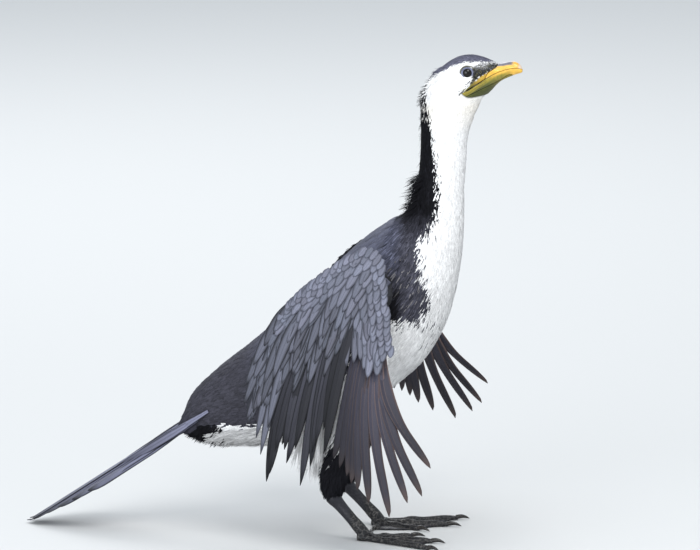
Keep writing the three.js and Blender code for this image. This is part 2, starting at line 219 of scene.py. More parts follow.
def make_mesh(name, verts, quads, tris=None, uvs=None, points=None, slot=None):
    """A mesh object from arrays, with named uvs and named point colours, one for each vertex."""
    quads = np.asarray(quads, int).reshape(-1, 4)
    tris = np.asarray(tris if tris is not None else [], int).reshape(-1, 3)
    mesh = bpy.data.meshes.new(name)
    mesh.vertices.add(len(verts))
    mesh.vertices.foreach_set("co", world(verts).astype(np.float32).ravel())
    loops = np.concatenate([quads.ravel(), tris.ravel()]).astype(np.int32)
    mesh.loops.add(len(loops))
    mesh.loops.foreach_set("vertex_index", loops)
    starts = np.concatenate([np.arange(len(quads)) * 4,
                             len(quads) * 4 + np.arange(len(tris)) * 3]).astype(np.int32)
    mesh.polygons.add(len(starts))
    mesh.polygons.foreach_set("loop_start", starts)
    mesh.polygons.foreach_set("use_smooth", np.ones(len(starts), bool))
    mesh.update(calc_edges=True)
    for key, uv in (uvs or {}).items():
        layer = mesh.uv_layers.new(name=key)
        layer.data.foreach_set("uv", np.asarray(uv, np.float32)[loops].ravel())
    for key, colour in (points or {}).items():
        paint(mesh, key, colour)
    mesh.validate()
    obj = add_object(name, mesh)
    if slot:
        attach(obj, "root")
    return obj


def finish_piece(obj, name, material, replaces):
    obj.name = name
    obj.data.materials.clear()
    obj.data.materials.append(material)
    obj.data.polygons.foreach_set("use_smooth", np.ones(len(obj.data.polygons), bool))
    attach(obj, "root")
    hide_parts(*replaces)
    return obj


def loft_arrays(rings):
    """Vertices, quads and tris of a closed surface through an array of rings (r, s, 3)."""
    rings = np.asarray(rings, float)
    r, s, _ = rings.shape
    verts = np.vstack([rings.reshape(-1, 3), rings[0].mean(0), rings[-1].mean(0)])
    i = np.arange(r - 1)[:, None] * s
    a, b = np.arange(s)[None], (np.arange(s)[None] + 1) % s
    quads = np.stack(np.broadcast_arrays(i + a, i + b, i + s + b, i + s + a), -1).reshape(-1, 4)
    k = np.arange(s)
    first = np.column_stack([np.full(s, r * s), (k + 1) % s, k])
    last = np.column_stack([np.full(s, r * s + 1), (r - 1) * s + k, (r - 1) * s + (k + 1) % s])
    return verts, quads, np.vstack([first, last])


def combine(parts):
    verts, quads, tris, count = [], [], [], 0
    for v, q, t in parts:
        verts.append(v)
        quads.append(np.asarray(q) + count)
        tris.append(np.asarray(t) + count)
        count += len(v)
    return np.vstack(verts), np.vstack(quads), np.vstack(tris)


def outward(v, q, t):
    """The same closed surface with its faces turned out."""
    quads = [q[:, [0, 1, 2]], q[:, [0, 2, 3]]]
    tri = np.vstack([*quads, t])
    a, b, c = v[tri[:, 0]], v[tri[:, 1]], v[tri[:, 2]]
    volume = np.sum(np.cross(a, b) * c)
    return (v, q, t) if volume > 0 else (v, q[:, ::-1], t[:, ::-1])


def loft(rings):
    """Vertices, quads and tris of a closed surface through rings, its faces turned out."""
    return outward(*loft_arrays(rings))


def limb_rings(path, widths, heights, up, sides=24, samples=40):
    """Oval rings along a smooth path: widths sideways, heights along up."""
    path = np.asarray(path, float)
    rows = Spline(np.column_stack([path, widths, heights]))(np.linspace(0, len(path) - 1, samples))
    centre = rows[:, :3]
    along = unit(np.gradient(centre, axis=0))
    side = unit(np.cross(along, up))
    top = unit(np.cross(side, along))
    angle = 2 * np.pi * (np.arange(sides) + 0.5) / sides
    return (
        centre[:, None]
        + side[:, None] * rows[:, 3, None, None] * np.cos(angle)[None, :, None]
        + top[:, None] * rows[:, 4, None, None] * np.sin(angle)[None, :, None]
    )


class Batch:
    """Many small pieces gathered into one mesh."""

    def __init__(self):
        self.verts, self.quads, self.tris, self.count = [], [], [], 0
        self.bake, self.vane, self.tint, self.rim = [], [], [], []

    def add(self, verts, quads, tris, bake, vane, tint, rim=None):
        self.verts.append(verts)
        self.quads.append(np.asarray(quads, int).reshape(-1, 4) + self.count)
        self.tris.append(np.asarray(tris, int).reshape(-1, 3) + self.count)
        self.bake.append(bake)
        self.vane.append(vane)
        self.tint.append(tint)
        self.rim.append(tint if rim is None else rim)
        self.count += len(verts)

    def make(self, name, slot, material):
        obj = make_mesh(
            name,
            np.vstack(self.verts), np.vstack(self.quads), np.vstack(self.tris),
            uvs={"OFBake": np.vstack(self.bake), "Vane": np.vstack(self.vane)},
            points={"tint": np.vstack(self.tint), "rim": np.vstack(self.rim)},
            slot=slot,
        )
        obj.data.materials.append(material)
        return obj


def tufts(batch, p, normal, lie, length, width, rise, tint, bake, rim=None, ridged=False, rows=4,
          droop=0.55, sink=0.6):
    """Thin leaves rooted at p that lie along lie and stand off the skin by rise before they droop."""
    n = len(p)
    side = unit(np.cross(lie, normal))
    t = np.linspace(0, 1, rows + 1)[:-1]
    out = rise[:, None] * (t[None] - droop * t[None] ** 2) / (1 - droop * 0.5) - sink * (1 - t[None]) ** 3
    taper = (0.45 + 0.55 * smooth(t[None] / 0.35)) * (1 - 0.45 * smooth((t[None] - 0.5) / 0.5))
    half = width[:, None] / 2 * taper
    along = (length[:, None] * t[None])[..., None]
    centre = p[:, None] + lie[:, None] * along + normal[:, None] * out[..., None]
    tip = p + lie * length[:, None] + normal * (rise * (1 - droop) / (1 - droop * 0.5))[:, None]
    cols = np.array([-1.0, 0.0, 1.0] if ridged else [-1.0, 1.0])
    crown = np.array([0.0, 0.16, 0.0] if ridged else [0.0, 0.0])
    c = len(cols)
    body = (
        centre[:, :, None]
        + side[:, None, None] * (half[..., None] * cols)[..., None]
        + normal[:, None, None] * (half[..., None] * crown * 2)[..., None]
    )
    verts = np.concatenate([body.reshape(n, rows * c, 3), tip[:, None]], 1)
    m = rows * c + 1
    quad = [[r * c + k, r * c + k + 1, (r + 1) * c + k + 1,
             (r + 1) * c + k] for r in range(rows - 1) for k in range(c - 1)]
    tri = [[(rows - 1) * c + k, (rows - 1) * c + k + 1, m - 1] for k in range(c - 1)]
    offset = (np.arange(n) * m)[:, None, None]
    vane = np.vstack([np.column_stack([np.tile(cols, rows), np.repeat(t, c)]), [0, 1]])
    patch = vane * np.array([0.0012, 0.0026]) - np.array([0, 0.0013])
    spread = lambda v: np.repeat(v[:, None], m, 1).reshape(-1, v.shape[1])
    batch.add(
        verts.reshape(-1, 3),
        (np.array(quad)[None] + offset).reshape(-1, 4),
        (np.array(tri)[None] + offset).reshape(-1, 3),
        (np.clip(bake, 0.003, 0.997)[:, None] + patch[None]).reshape(-1, 2),
        np.tile(vane, (n, 1)), spread(tint), spread(rim) if rim is not None else None,
    )


FINE_COLUMNS = np.array([-1.0, -0.62, -0.28, -0.07, 0.0, 0.07, 0.28, 0.62, 1.0])
PLAIN_COLUMNS = np.array([-1.0, -0.5, 0.0, 0.5, 1.0])


def blade(batch, point_at, normal_at, width, cell, tint, rim, steps=22, thick=0.35, narrow=0.35,
          tip_round=0.2, lead=0.5, roll=0.0, camber=0.05, point=0.5, notch=0.0, fine=True):
    """A closed flight feather or covert. lead is the leading vane's share, cell the place in the map."""
    t = np.linspace(0, 1, steps) ** 0.92
    centre = point_at(t)
    along = unit(np.gradient(centre, axis=0))
    up = square_to(normal_at(t), along)
    side = np.cross(along, up)
    c, s = math.cos(roll), math.sin(roll)
    up, side = up * c - side * s, side * c + up * s
    grow = lerp(narrow, 1, smooth(t / 0.4)) * (1 - notch * smooth((t - 0.45) / 0.3))
    round_off = np.clip(1 - ((t - 1 + tip_round) / tip_round).clip(0, 1) ** 2.2, 0, 1) ** point
    half = width / 2 * grow * np.maximum(round_off, 0.05)
    cols = FINE_COLUMNS if fine else PLAIN_COLUMNS
    spread = np.where(cols < 0, 2 * lead, 2 * (1 - lead)) * cols
    shaft = np.where(cols == 0, 1.0, 0.0)
    bend = -camber * width * (np.abs(cols) ** 1.6)
    high = half[:, None] / (width / 2) * bend + shaft * 0.22 * (1 - 0.8 * t[:, None]) + thick / 2
    wide = half[:, None] * spread
    top = centre[:, None] + side[:, None] * wide[..., None] + up[:, None] * high[..., None]
    low = top - up[:, None] * thick * (1.0 + 0.4 * shaft - 0.65 * np.abs(cols) ** 3)[None, :, None]
    ring = np.concatenate([top, low[:, ::-1]], 1)
    verts, quads, tris = loft_arrays(ring)
    x = np.concatenate([cols, cols[::-1]])
    vane = np.column_stack([np.tile(x, steps), np.repeat(t, len(x))])
    vane = np.vstack([vane, [0, 0], [0, 1]])
    c0, c1, size = cell
    under = np.tile(np.repeat([0.0, 1.0], len(cols)), steps)
    under = np.append(under, [0.0, 0.0])
    u = (vane[:, 0] * 0.22 + 0.25 + 0.5 * under) * size[0] + c0
    v = (vane[:, 1] * 0.96 + 0.02) * size[1] + c1
    n = len(verts)
    batch.add(verts, quads, tris, np.column_stack([u, v]), vane, np.tile(tint, (n, 1)),
              np.tile(rim, (n, 1)))


# Markings.
WHITE = np.array([0.87, 0.865, 0.865])
CREAM = np.array([1.0, 0.965, 0.90])
BLACK = np.array([0.006, 0.006, 0.008])
SLATE = np.array([0.032, 0.032, 0.042])
MANTLE_TINT = np.array([0.078, 0.082, 0.118])
CAPE = [
    (500, 40), (498, 61.5), (486, 62), (467, 61), (455, 63.5), (448, 66), (442, 70.5), (434, 74),
    (428.5, 82), (427.5, 102), (430, 116), (432, 134), (436, 165), (438, 194), (436, 212), (428, 224),
    (419, 236), (421, 250), (424, 264), (429, 276), (432, 286), (430, 300), (424, 311), (405, 314),
    (382, 317), (362, 345), (330, 398), (300, 418), (262, 423), (228, 420), (222, 440), (188, 430),
    (120, 470), (60, 300), (300, 150), (400, 60),
]
LORES = [
    (470.5, 67), (476, 64.8), (484, 63), (491, 62.6), (500, 63), (497, 66), (489, 70.5), (479, 76.5),
    (471.5, 83), (463, 90.5), (461, 90), (466.5, 86), (470.5, 80.5), (471.5, 75),
]
RICTUS = [
    (500, 64), (497, 66), (489, 70.5), (479, 76.5), (471.5, 83), (463, 90.5), (466, 93), (480, 88),
    (490, 81), (502, 72),
]
MANTLE = [
    (404, 203), (398, 216), (388, 236), (382, 256), (379, 290), (368, 330), (330, 398), (262, 424),
    (215, 421), (180, 440), (60, 300), (300, 150),
]


UNDERTAIL = [(150, 426), (184, 429), (197, 418), (210, 410), (221, 415), (228, 446), (150, 452)]

FLECKED = [(432, 296), (446, 300), (444, 330), (428, 350), (424, 330), (428, 312)]
NAPE = [(418, 86), (432, 84), (432, 100), (428, 112), (418, 112)]
BREAST_PATCH = [(396, 250), (418, 240), (428, 276), (430, 296), (410, 300), (392, 270)]


def inside(polygon, u, v):
    hit = np.zeros(len(u), bool)
    for (x0, y0), (x1, y1) in zip(polygon, polygon[1:] + polygon[:1]):
        crosses = (y0 > v) != (y1 > v)
        hit ^= crosses & (u < (x1 - x0) * (v - y0) / (y1 - y0 + 1e-12) + x0)
    return hit


def plumage_colour(p, ragged=2.0):
    """Tint of body plumage at surface points, with the edge of each marking ragged by so many pixels."""
    u, v = side_view(p)
    n = len(u)
    fine = np.clip(1 - (200 - v) / 140, 0.25, 1.4)
    ju, jv = u + RNG.normal(0, ragged, n) * fine, v + RNG.normal(0, ragged * 1.6, n) * fine
    dark = inside(CAPE, ju, jv)
    # Single black flecks in the white below the dark side of the breast, and white ones at the nape.
    fleck = inside(FLECKED, u, v) & (RNG.random(n) < 0.07)
    nape = inside(NAPE, u, v) & (RNG.random(n) < 0.3)
    # A ragged black stripe runs down the middle of the nape, from the crown to the hindneck.
    stripe = (np.abs(p[:, 1]) < 3.4 + RNG.normal(0, 1.3, n)) & (u < 436) & (v > 72) & (v < 128)
    dark = (dark | fleck) & ~nape | stripe
    cream = smooth((130 - v) / 30) * smooth((v - 92) / 10)
    white = lerp(WHITE, WHITE * CREAM, cream[:, None]) * RNG.uniform(0.94, 1.03, (n, 1))
    # Painted light: the white grows brighter towards the belly, standing in for light thrown up onto it
    # from below.
    white = white * (1 + 0.08 * smooth((v - 290) / 60))[:, None]
    # Painted sheen: towards the crown the dark plumage turns a lighter blue-grey, which stands in for the
    # gloss of light on its dark feathers.
    crown = smooth((80 - v) / 14)[:, None]
    slate = smooth((v - 200) / 40)[:, None]
    deep = lerp(lerp(BLACK, np.array([0.115, 0.115, 0.160]), crown), SLATE * 1.8, slate)
    mantle = smooth((410 - u) / 12) * smooth((v - 206) / 12) * smooth((276 - v) / 26)
    deep = lerp(deep, MANTLE_TINT, mantle[:, None])
    patch = inside(BREAST_PATCH, u, v)
    pale = RNG.random(n)
    deep = deep * np.exp(RNG.normal(0, 0.35, (n, 1)))
    deep = np.where((patch & (pale < 0.06))[:, None],
                    np.array([0.24, 0.23, 0.24]) * RNG.uniform(0.5, 1.2, (n, 1)), deep)
    # Painted shade: in the gap between the wing and the breast, where shade falls, the dark plumage is made
    # darker still.
    armpit_painted_shade = smooth((u - 374) / 8) * smooth((411 - u) / 12) * smooth((v - 272) / 14) * smooth((322 - v) / 4)
    deep = deep * (1 - 0.88 * armpit_painted_shade[:, None])
    dark |= inside(UNDERTAIL, u, v)
    deep = np.where(inside(UNDERTAIL, u, v)[:, None], BLACK, deep)
    colour = np.where(dark[:, None], deep, white)
    lores = inside(LORES, u + RNG.normal(0, 0.5, n), v + RNG.normal(0, 0.5, n))
    upper = smooth((70 - v) / 5)[:, None] * smooth((490 - u) / 6)[:, None]
    bare = lerp(np.array([0.030, 0.030, 0.032]), np.array([0.24, 0.24, 0.25]), upper * 0.8)
    bare = bare * np.exp(RNG.normal(0, 0.7, (n, 1)))
    speck = (RNG.random(n) < 0.12)[:, None]
    bare = np.where(speck, np.array([0.15, 0.14, 0.075]), bare)
    colour = np.where(lores[:, None], bare, colour)
    gape = lerp(np.array([0.16, 0.14, 0.03]), np.array([0.50, 0.32, 0.045]),
                smooth((u - 468) / 14)[:, None])
    return np.where(inside(RICTUS, u, v)[:, None], gape, colour)


# Materials.
def new_material(name):
    material = bpy.data.materials.new(name)
    material.use_nodes = True
    tree = material.node_tree
    tree.nodes.clear()
    out = tree.nodes.new("ShaderNodeOutputMaterial")
    shader = tree.nodes.new("ShaderNodeBsdfPrincipled")
    tree.links.new(shader.outputs["BSDF"], out.inputs["Surface"])
    return material, tree, shader


def node(tree, kind, inputs=None, **settings):
    made = tree.nodes.new(kind)
    for key, value in settings.items():
        setattr(made, key, value)
    for key, value in (inputs or {}).items():
        if isinstance(value, bpy.types.NodeSocket):
            tree.links.new(value, made.inputs[key])
        else:
            made.inputs[key].default_value = value
    return made


def math_node(tree, operation, a, b=None, c=None):
    inputs = {k: v for k, v in enumerate((a, b, c)) if v is not None}
    return node(tree, "ShaderNodeMath", inputs, operation=operation).outputs[0]


def mix_colour(tree, factor, a, b, blend="MIX"):
    return node(tree, "ShaderNodeMix", {0: factor, 6: a, 7: b}, data_type="RGBA",
                blend_type=blend).outputs[2]


def ramp(tree, value, start, end, low, high, kind="LINEAR"):
    """low where value is start, high where it is end."""
    inputs = {0: value, 1: start, 2: end, 3: low, 4: high}
    return node(tree, "ShaderNodeMapRange", inputs, interpolation_type=kind).outputs[0]


def grey(tree, shade):
    return node(tree, "ShaderNodeCombineColor", {0: shade, 1: shade, 2: shade}).outputs[0]


def feather_material(name, roughness, barbs=90.0, slant=14.0, bump=0.25, rim=(0.62, 0.98), specular=0.35,
                     shaft=0.0, fade=1.0):
    """Feathers: the vane's own tint, its rim towards the edges, and fine barbs slanting to the tip."""
    material, tree, shader = new_material(name)
    uv = node(tree, "ShaderNodeUVMap", uv_map="Vane")
    xy = node(tree, "ShaderNodeSeparateXYZ", {0: uv.outputs[0]})
    across = math_node(tree, "ABSOLUTE", xy.outputs[0])
    along = xy.outputs[1]
    tint = node(tree, "ShaderNodeAttribute", attribute_name="tint")
    edge = node(tree, "ShaderNodeAttribute", attribute_name="rim")
    noise = node(tree, "ShaderNodeTexNoise", {"Scale": 220.0, "Detail": 3.0, "Roughness": 0.6})
    to_rim = ramp(tree, across, rim[0], rim[1], 0.0, 1.0, "SMOOTHSTEP")
    to_tip = ramp(tree, along, 0.86, 1.0, 0.0, 1.0, "SMOOTHSTEP")
    base = mix_colour(tree, math_node(tree, "MAXIMUM", to_rim, to_tip), tint.outputs["Color"],
                      edge.outputs["Color"])
    quill = ramp(tree, across, 0.02, 0.09, shaft, 0.0)
    base = mix_colour(tree, quill, base, edge.outputs["Color"])
    lines = math_node(tree, "ADD", math_node(tree, "MULTIPLY", along, barbs),
                      math_node(tree, "MULTIPLY", across, -slant))
    wobble = math_node(tree, "MULTIPLY", noise.outputs["Fac"], 2.2)
    wave = math_node(tree, "SINE", math_node(tree, "ADD", math_node(tree, "MULTIPLY", lines, 6.283),
                                             wobble))
    wave = math_node(tree, "MULTIPLY_ADD", wave, 0.5, 0.5)
    uneven = ramp(tree, noise.outputs["Fac"], 0.3, 0.7, 0.82, 1.15)
    shade = math_node(tree, "MULTIPLY", uneven, math_node(tree, "MULTIPLY_ADD", wave, 0.14, 0.93))
    shade = math_node(tree, "MULTIPLY", shade, ramp(tree, along, 0.15, 0.8, fade, 1.0))
    tree.links.new(mix_colour(tree, 1.0, base, grey(tree, shade), "MULTIPLY"), shader.inputs["Base Color"])
    bumped = node(tree, "ShaderNodeBump", {"Strength": bump, "Distance": 0.0002, "Height": wave})
    tree.links.new(bumped.outputs[0], shader.inputs["Normal"])
    shader.inputs["Roughness"].default_value = roughness
    shader.inputs["Specular IOR Level"].default_value = specular
    return material


def skin_material(name, colour=None, second=None, scale=900.0, roughness=0.6, bump=0.3, mottled=160.0,
                  specular=0.4, coat=0.0):
    """Bare skin, horn or scales: two mottled colours, or the piece's own tint, with cells as bump."""
    material, tree, shader = new_material(name)
    place = node(tree, "ShaderNodeTexCoord").outputs["Object"]
    noise = node(tree, "ShaderNodeTexNoise",
                 {"Vector": place, "Scale": mottled, "Detail": 4.0, "Roughness": 0.6})
    if colour:
        spread = ramp(tree, noise.outputs["Fac"], 0.38, 0.66, 0.0, 1.0, "SMOOTHSTEP")
        base = mix_colour(tree, spread, (*colour, 1.0), (*second, 1.0))
    else:
        tint = node(tree, "ShaderNodeAttribute", attribute_name="tint").outputs["Color"]
        uneven = ramp(tree, noise.outputs["Fac"], 0.3, 0.7, 0.8, 1.15)
        base = mix_colour(tree, 1.0, tint, grey(tree, uneven), "MULTIPLY")
    tree.links.new(base, shader.inputs["Base Color"])
    cells = node(tree, "ShaderNodeTexVoronoi", {"Vector": place, "Scale": scale})
    bumped = node(tree, "ShaderNodeBump", {"Strength": bump, "Distance": 0.0004,
                                           "Height": cells.outputs["Distance"]}, invert=True)
    tree.links.new(bumped.outputs[0], shader.inputs["Normal"])
    shader.inputs["Roughness"].default_value = roughness
    shader.inputs["Specular IOR Level"].default_value = specular
    shader.inputs["Coat Weight"].default_value = coat
    return material


BODY_FEATHER = feather_material("body_feather", 0.75, barbs=26.0, slant=5.0, bump=0.15, specular=0.08)
CONTOUR_FEATHER = feather_material("contour_feather", 0.6, barbs=34.0, slant=8.0, bump=0.3, specular=0.2)
COVERT_FEATHER = feather_material("covert_feather", 0.5, barbs=60.0, slant=10.0, bump=0.35, specular=0.3,
                                  rim=(0.3, 1.0), shaft=0.45)
FLIGHT_FEATHER = feather_material("flight_feather", 0.44, barbs=110.0, slant=12.0, bump=0.4, specular=0.2,
                                  rim=(0.66, 1.0), shaft=0.5, fade=2.3)
SKIN = skin_material("skin", scale=700.0, bump=0.2, roughness=0.8)


# Skin and head.
def apply_modifiers(obj):
    graph = bpy.context.evaluated_depsgraph_get()
    mesh = bpy.data.meshes.new_from_object(obj.evaluated_get(graph))
    obj.modifiers.clear()
    obj.data = mesh
    return obj


def remesh(obj, voxel, smoothing=0):
    modifier = obj.modifiers.new("remesh", "REMESH")
    modifier.mode, modifier.voxel_size, modifier.use_smooth_shade = "VOXEL", voxel, True
    if smoothing:
        soft = obj.modifiers.new("soft", "SMOOTH")
        soft.iterations, soft.factor = smoothing, 0.5
    return apply_modifiers(obj)


def cut_away(obj, cutters):
    for cutter in cutters:
        modifier = obj.modifiers.new("cut", "BOOLEAN")
        modifier.operation, modifier.object, modifier.solver = "DIFFERENCE", cutter, "EXACT"
    apply_modifiers(obj)
    for cutter in cutters:
        bpy.data.objects.remove(cutter)
    return obj


def mesh_points(mesh):
    co = np.empty(len(mesh.vertices) * 3, np.float32)
    mesh.vertices.foreach_get("co", co)
    return co.reshape(-1, 3).astype(float) * 1000 - SHIFT


def loose_parts(obj):
    """One new object for each connected part of obj's mesh."""
    bm = bmesh.new()
    bm.from_mesh(obj.data)
    bm.verts.ensure_lookup_table()
    label = np.full(len(bm.verts), -1)
    parts = 0
    for seed in bm.verts:
        if label[seed.index] >= 0:
            continue
        stack = [seed]
        label[seed.index] = parts
        while stack:
            for e in stack.pop().link_edges:
                for w in e.verts:
                    if label[w.index] < 0:
                        label[w.index] = parts
                        stack.append(w)
        parts += 1
    made = []
    for k in range(parts):
        keep = bm.copy()
        bmesh.ops.delete(keep, geom=[w for w in keep.verts if label[w.index] != k], context="VERTS")
        mesh = bpy.data.meshes.new(f"part_{k}")
        keep.to_mesh(mesh)
        keep.free()
        made.append(add_object(f"part_{k}", mesh))
    bm.free()
    bpy.data.objects.remove(obj)
    return made


def side_cut(points, width=0.28, name="cut"):
    """A slab along a line in the plane of symmetry, right through the head from side to side."""
    fine = Spline(points)(np.linspace(0, len(points) - 1, 8 * len(points)))
    along = unit(np.gradient(fine, axis=0))
    off = np.column_stack([-along[:, 1], along[:, 0]]) * width / 2
    outline = np.vstack([fine + off, (fine - off)[::-1]])
    n = len(outline)
    left = np.column_stack([outline[:, 0], np.full(n, 30.0), outline[:, 1]])
    right = left * [1, -1, 1]
    half = n // 2
    quads = []
    for side, turn in ((0, False), (n, True)):
        for i in range(half - 1):
            q = [side + i, side + i + 1, side + n - 2 - i, side + n - 1 - i]
            quads.append(q[::-1] if turn else q)
    for i in range(n):
        j = (i + 1) % n
        quads.append([i, n + i, n + j, j])
    v, q, t = outward(np.vstack([left, right]), np.array(quads), np.zeros((0, 3), int))
    return make_mesh(name, v, q, t)


def head_surface(station, angle):
    """The head's and bill's own surface, with the hollows and ridges that the body outline leaves out."""
    p = body_point(station, angle)
    x, z = p[..., 0], p[..., 2]
    centre = body_point(station, angle, -3.0)
    out = unit(p - centre)
    # A groove runs along each side of the upper bill, under a rounded ridge.
    ridge = BACK(np.asarray(station, float).ravel()).reshape(station.shape + (2,))
    below = ridge[..., 1] - z
    groove = np.exp(-((below - 3.6) / 0.9) ** 2) * smooth((x - 116) / 4) * smooth((135.5 - x) / 3)
    lore = np.exp(-(((x - 108) / 9) ** 2 + ((z - 375.5) / 4.5) ** 2))
    brow = np.exp(-(((x - 99) / 9) ** 2 + ((z - 383.5) / 2.4) ** 2))
    cheek = np.exp(-(((x - 87) / 9) ** 2 + ((z - 364) / 7) ** 2))
    side = np.abs(np.sin(angle)) ** 2
    relief = -0.55 * groove - 1.3 * lore * side + 0.7 * brow * side + 0.5 * cheek * side
    return p + out * relief[..., None]


MOUTH_LINE = [
    [92, 361], [98, 363.3], [106, 368.6], [113, 373.2], [121.6, 377.4], [131, 380], [137, 380],
    [142, 378],
]
CHIN_LINE = [[91, 362.4], [97, 357.4], [103, 357.2], [111, 358.3], [120, 358.6]]
BILL_BASE_LINE = [[119, 389], [119.6, 382], [113, 376.5], [110.5, 371.6]]
POUCH_LINE = [[95, 357.4], [108, 363.8], [121, 370.2], [130.5, 375.4], [134, 371]]


def build_head():
    stations = np.concatenate([np.linspace(13.6, 22, 90), np.linspace(22.08, LAST, 70)])
    angles = np.linspace(0, 2 * np.pi, 96, endpoint=False)
    s, a = grid(stations, angles)
    v, q, t = loft(head_surface(s, a))
    whole = make_mesh("head_whole", v, q, t)
    lines = MOUTH_LINE, CHIN_LINE, BILL_BASE_LINE, POUCH_LINE
    cuts = [side_cut(line, name=f"cut_{i}") for i, line in enumerate(lines)]
    return loose_parts(cut_away(whole, cuts))


HEAD_BACK, BILL_END, MOUTH_HEIGHT = 70, 138.5, 378


def name_parts(parts):
    """The head's parts by name, told apart by where they lie, the largest of each kind."""
    named = {}
    for part in parts:
        p = mesh_points(part.data)
        if p[:, 0].min() < HEAD_BACK:
            key = "head"
        elif p[:, 0].max() > BILL_END and p[:, 2].mean() > MOUTH_HEIGHT:
            key = "bill_upper"
        elif p[:, 2].max() > MOUTH_HEIGHT:
            key = "bill_lower"
        else:
            key = "gular_pouch"
        named.setdefault(key, []).append(part)
    for key, found in named.items():
        named[key], *crumbs = sorted(found, key=lambda part: -len(part.data.vertices))
        for crumb in crumbs:
            bpy.data.objects.remove(crumb)
    return named


PARTS = name_parts(build_head())


def object_arrays(obj):
    mesh = obj.data
    v = mesh_points(mesh)
    mesh.calc_loop_triangles()
    tri = np.empty(len(mesh.loop_triangles) * 3, np.int32)
    mesh.loop_triangles.foreach_get("vertices", tri)
    return v, np.zeros((0, 4), int), tri.reshape(-1, 3)


def coat_depth(station):
    """How far the skin lies inside the plumage's surface."""
    return np.interp(station, [0, 3, 9, 12, 15, 19, 22], [2.2, 2.6, 2.4, 1.8, 1.2, 0.8, 0.5])


THIGH_PATH = [(14, 26, 112), (6, 29, 84), (-4, 30, 60), (-10, 30, 34)]
THIGH_WIDE = [22, 19, 12, 7]
THIGH_HIGH = [16, 14, 10, 7]


def thigh_rings(side, lift=0.0, sides=36, samples=50):
    path = np.array(THIGH_PATH, float) * [1, side, 1]
    return limb_rings(path, np.array(THIGH_WIDE) + lift, np.array(THIGH_HIGH) + lift, (1, 0, 0), sides,
                      samples)


def build_skin():
    s, a = grid(np.linspace(0.02, 14.2, 170), np.linspace(0, 2 * np.pi, 110, endpoint=False))
    parts = [loft(body_point(s, a, -coat_depth(s)))]
    v, q, t = object_arrays(PARTS["head"])
    centre = np.column_stack([np.full(len(v), 84.0), np.zeros(len(v)), np.full(len(v), 366.0)])
    inward = unit(centre - v)
    inward[:, 0] *= smooth((110 - v[:, 0]) / 14)
    parts.append(outward(v + inward * 0.8, q, t))
    bpy.data.objects.remove(PARTS.pop("head"))
    for side in (-1, 1):
        parts.append(loft(thigh_rings(side, -1.6)))
    v, q, t = combine(parts)
    skin = remesh(make_mesh("skin", v, q, t), VOXEL["skin"], 4)
    eyes = []
    for side in (-1, 1):
        bpy.ops.mesh.primitive_ico_sphere_add(subdivisions=4, radius=(EYE["radius"] + 0.15) / 1000,
                                              location=world([EYE["x"], side * EYE["y"], EYE["z"]]))
        eyes.append(bpy.context.object)
    cut_away(skin, eyes)
    # The skin carries the plumage's markings, made darker by 0.85 as painted shade for the depths between
    # the tufts.
    paint(skin.data, "tint", plumage_colour(mesh_points(skin.data), ragged=0.8) * 0.85)
    finish_piece(skin, "skin", SKIN, ("torso", "neck", "head", "thigh_right", "thigh_left"))


build_skin()


# Bill, pouch, eyes and lids.
def bill_colour(p, lower):
    """Yellow horn, with a dark ridge and pale hook above, and olive shade and streaks below."""
    x, z = p[:, 0], p[:, 2]
    ridge, gape = np.interp(x, *BODY[-8:, :2].T), np.interp(x, *np.transpose(MOUTH_LINE))
    gold, amber, horn = np.array([[0.72, 0.42, 0.055], [0.70, 0.30, 0.03], [0.11, 0.12, 0.17]])
    pale, leaf, olive = np.array([[0.62, 0.55, 0.50], [0.27, 0.22, 0.02], [0.070, 0.078, 0.012]])
    grain = RNG.uniform(0.95, 1.04, (len(p), 1))
    column = lambda f: f[:, None]
    if lower:
        down = gape - z
        green = np.maximum(smooth((down - 0.9) / 2.2) * smooth((133 - x) / 8), 0.95 * smooth((121 - x) / 9))
        base = lerp(gold, leaf, column(green))
        base = lerp(base, olive, column(smooth((down - 2.6) / 2.4) * smooth((124 - x) / 12)))
        streak = smooth(np.sin(down * 3.1 + 0.7 * np.sin(x * 0.5)) * 1.6 - 0.5) * smooth((116 - x) / 8)
        base = lerp(base, olive * 0.5, column(streak * 0.6))
        barred = smooth((x - 106) / 5) * smooth((128 - x) / 4)
        bars = smooth(np.sin(x * 2.1) * 1.4) * barred * smooth((down - 1.0) / 1.2)
        base = lerp(base, olive * 1.5, column(bars * 0.3))
        base = lerp(base, horn * 0.6, column(smooth((0.55 - down) / 0.4) * smooth((112 - x) / 8)))
        return base * grain
    base = lerp(gold, amber, column(smooth((x - 129) / 8) * 0.45))
    base = lerp(base, pale, column(smooth((x - 135.4) / 2.6) * 0.75))
    below = ridge - z
    stripe = smooth((2.7 - below) / 1.1) * smooth((133.5 - x) / 3.5)
    behind = smooth((121 - x - 0.3 * below) / 2.5)
    behind *= smooth((below - 2.4) / 0.8) * smooth((5.2 - below) / 1.6)
    base = lerp(base, horn, column(np.maximum(stripe * 0.95, behind * 0.7)))
    lip = smooth((0.7 - (z - gape)) / 0.5) * smooth((119 - x) / 6)
    base = lerp(base, horn * 1.3, column(lip * 0.6))
    return base * grain


def pouch_colour(p):
    """Olive skin with dark folds that run from the gape to the bill's tip, yellower in front."""
    x, z = p[:, 0] - 93, p[:, 2] - 361.7
    along, under = x * 0.936 + z * 0.352, x * 0.352 - z * 0.936
    olive, yellow, dark = np.array([[0.066, 0.074, 0.009], [0.20, 0.16, 0.016], [0.014, 0.016, 0.006]])
    wave = np.sin(under * 4.6 + 0.9 * np.sin(along * 0.35))
    fold = smooth((wave - 0.2) / 0.6) * smooth((34 - along) / 12)
    colour = lerp(olive, yellow, smooth((along - 18) / 18)[:, None])
    return lerp(colour, dark, (fold * 0.75)[:, None]) * RNG.uniform(0.9, 1.08, (len(p), 1))


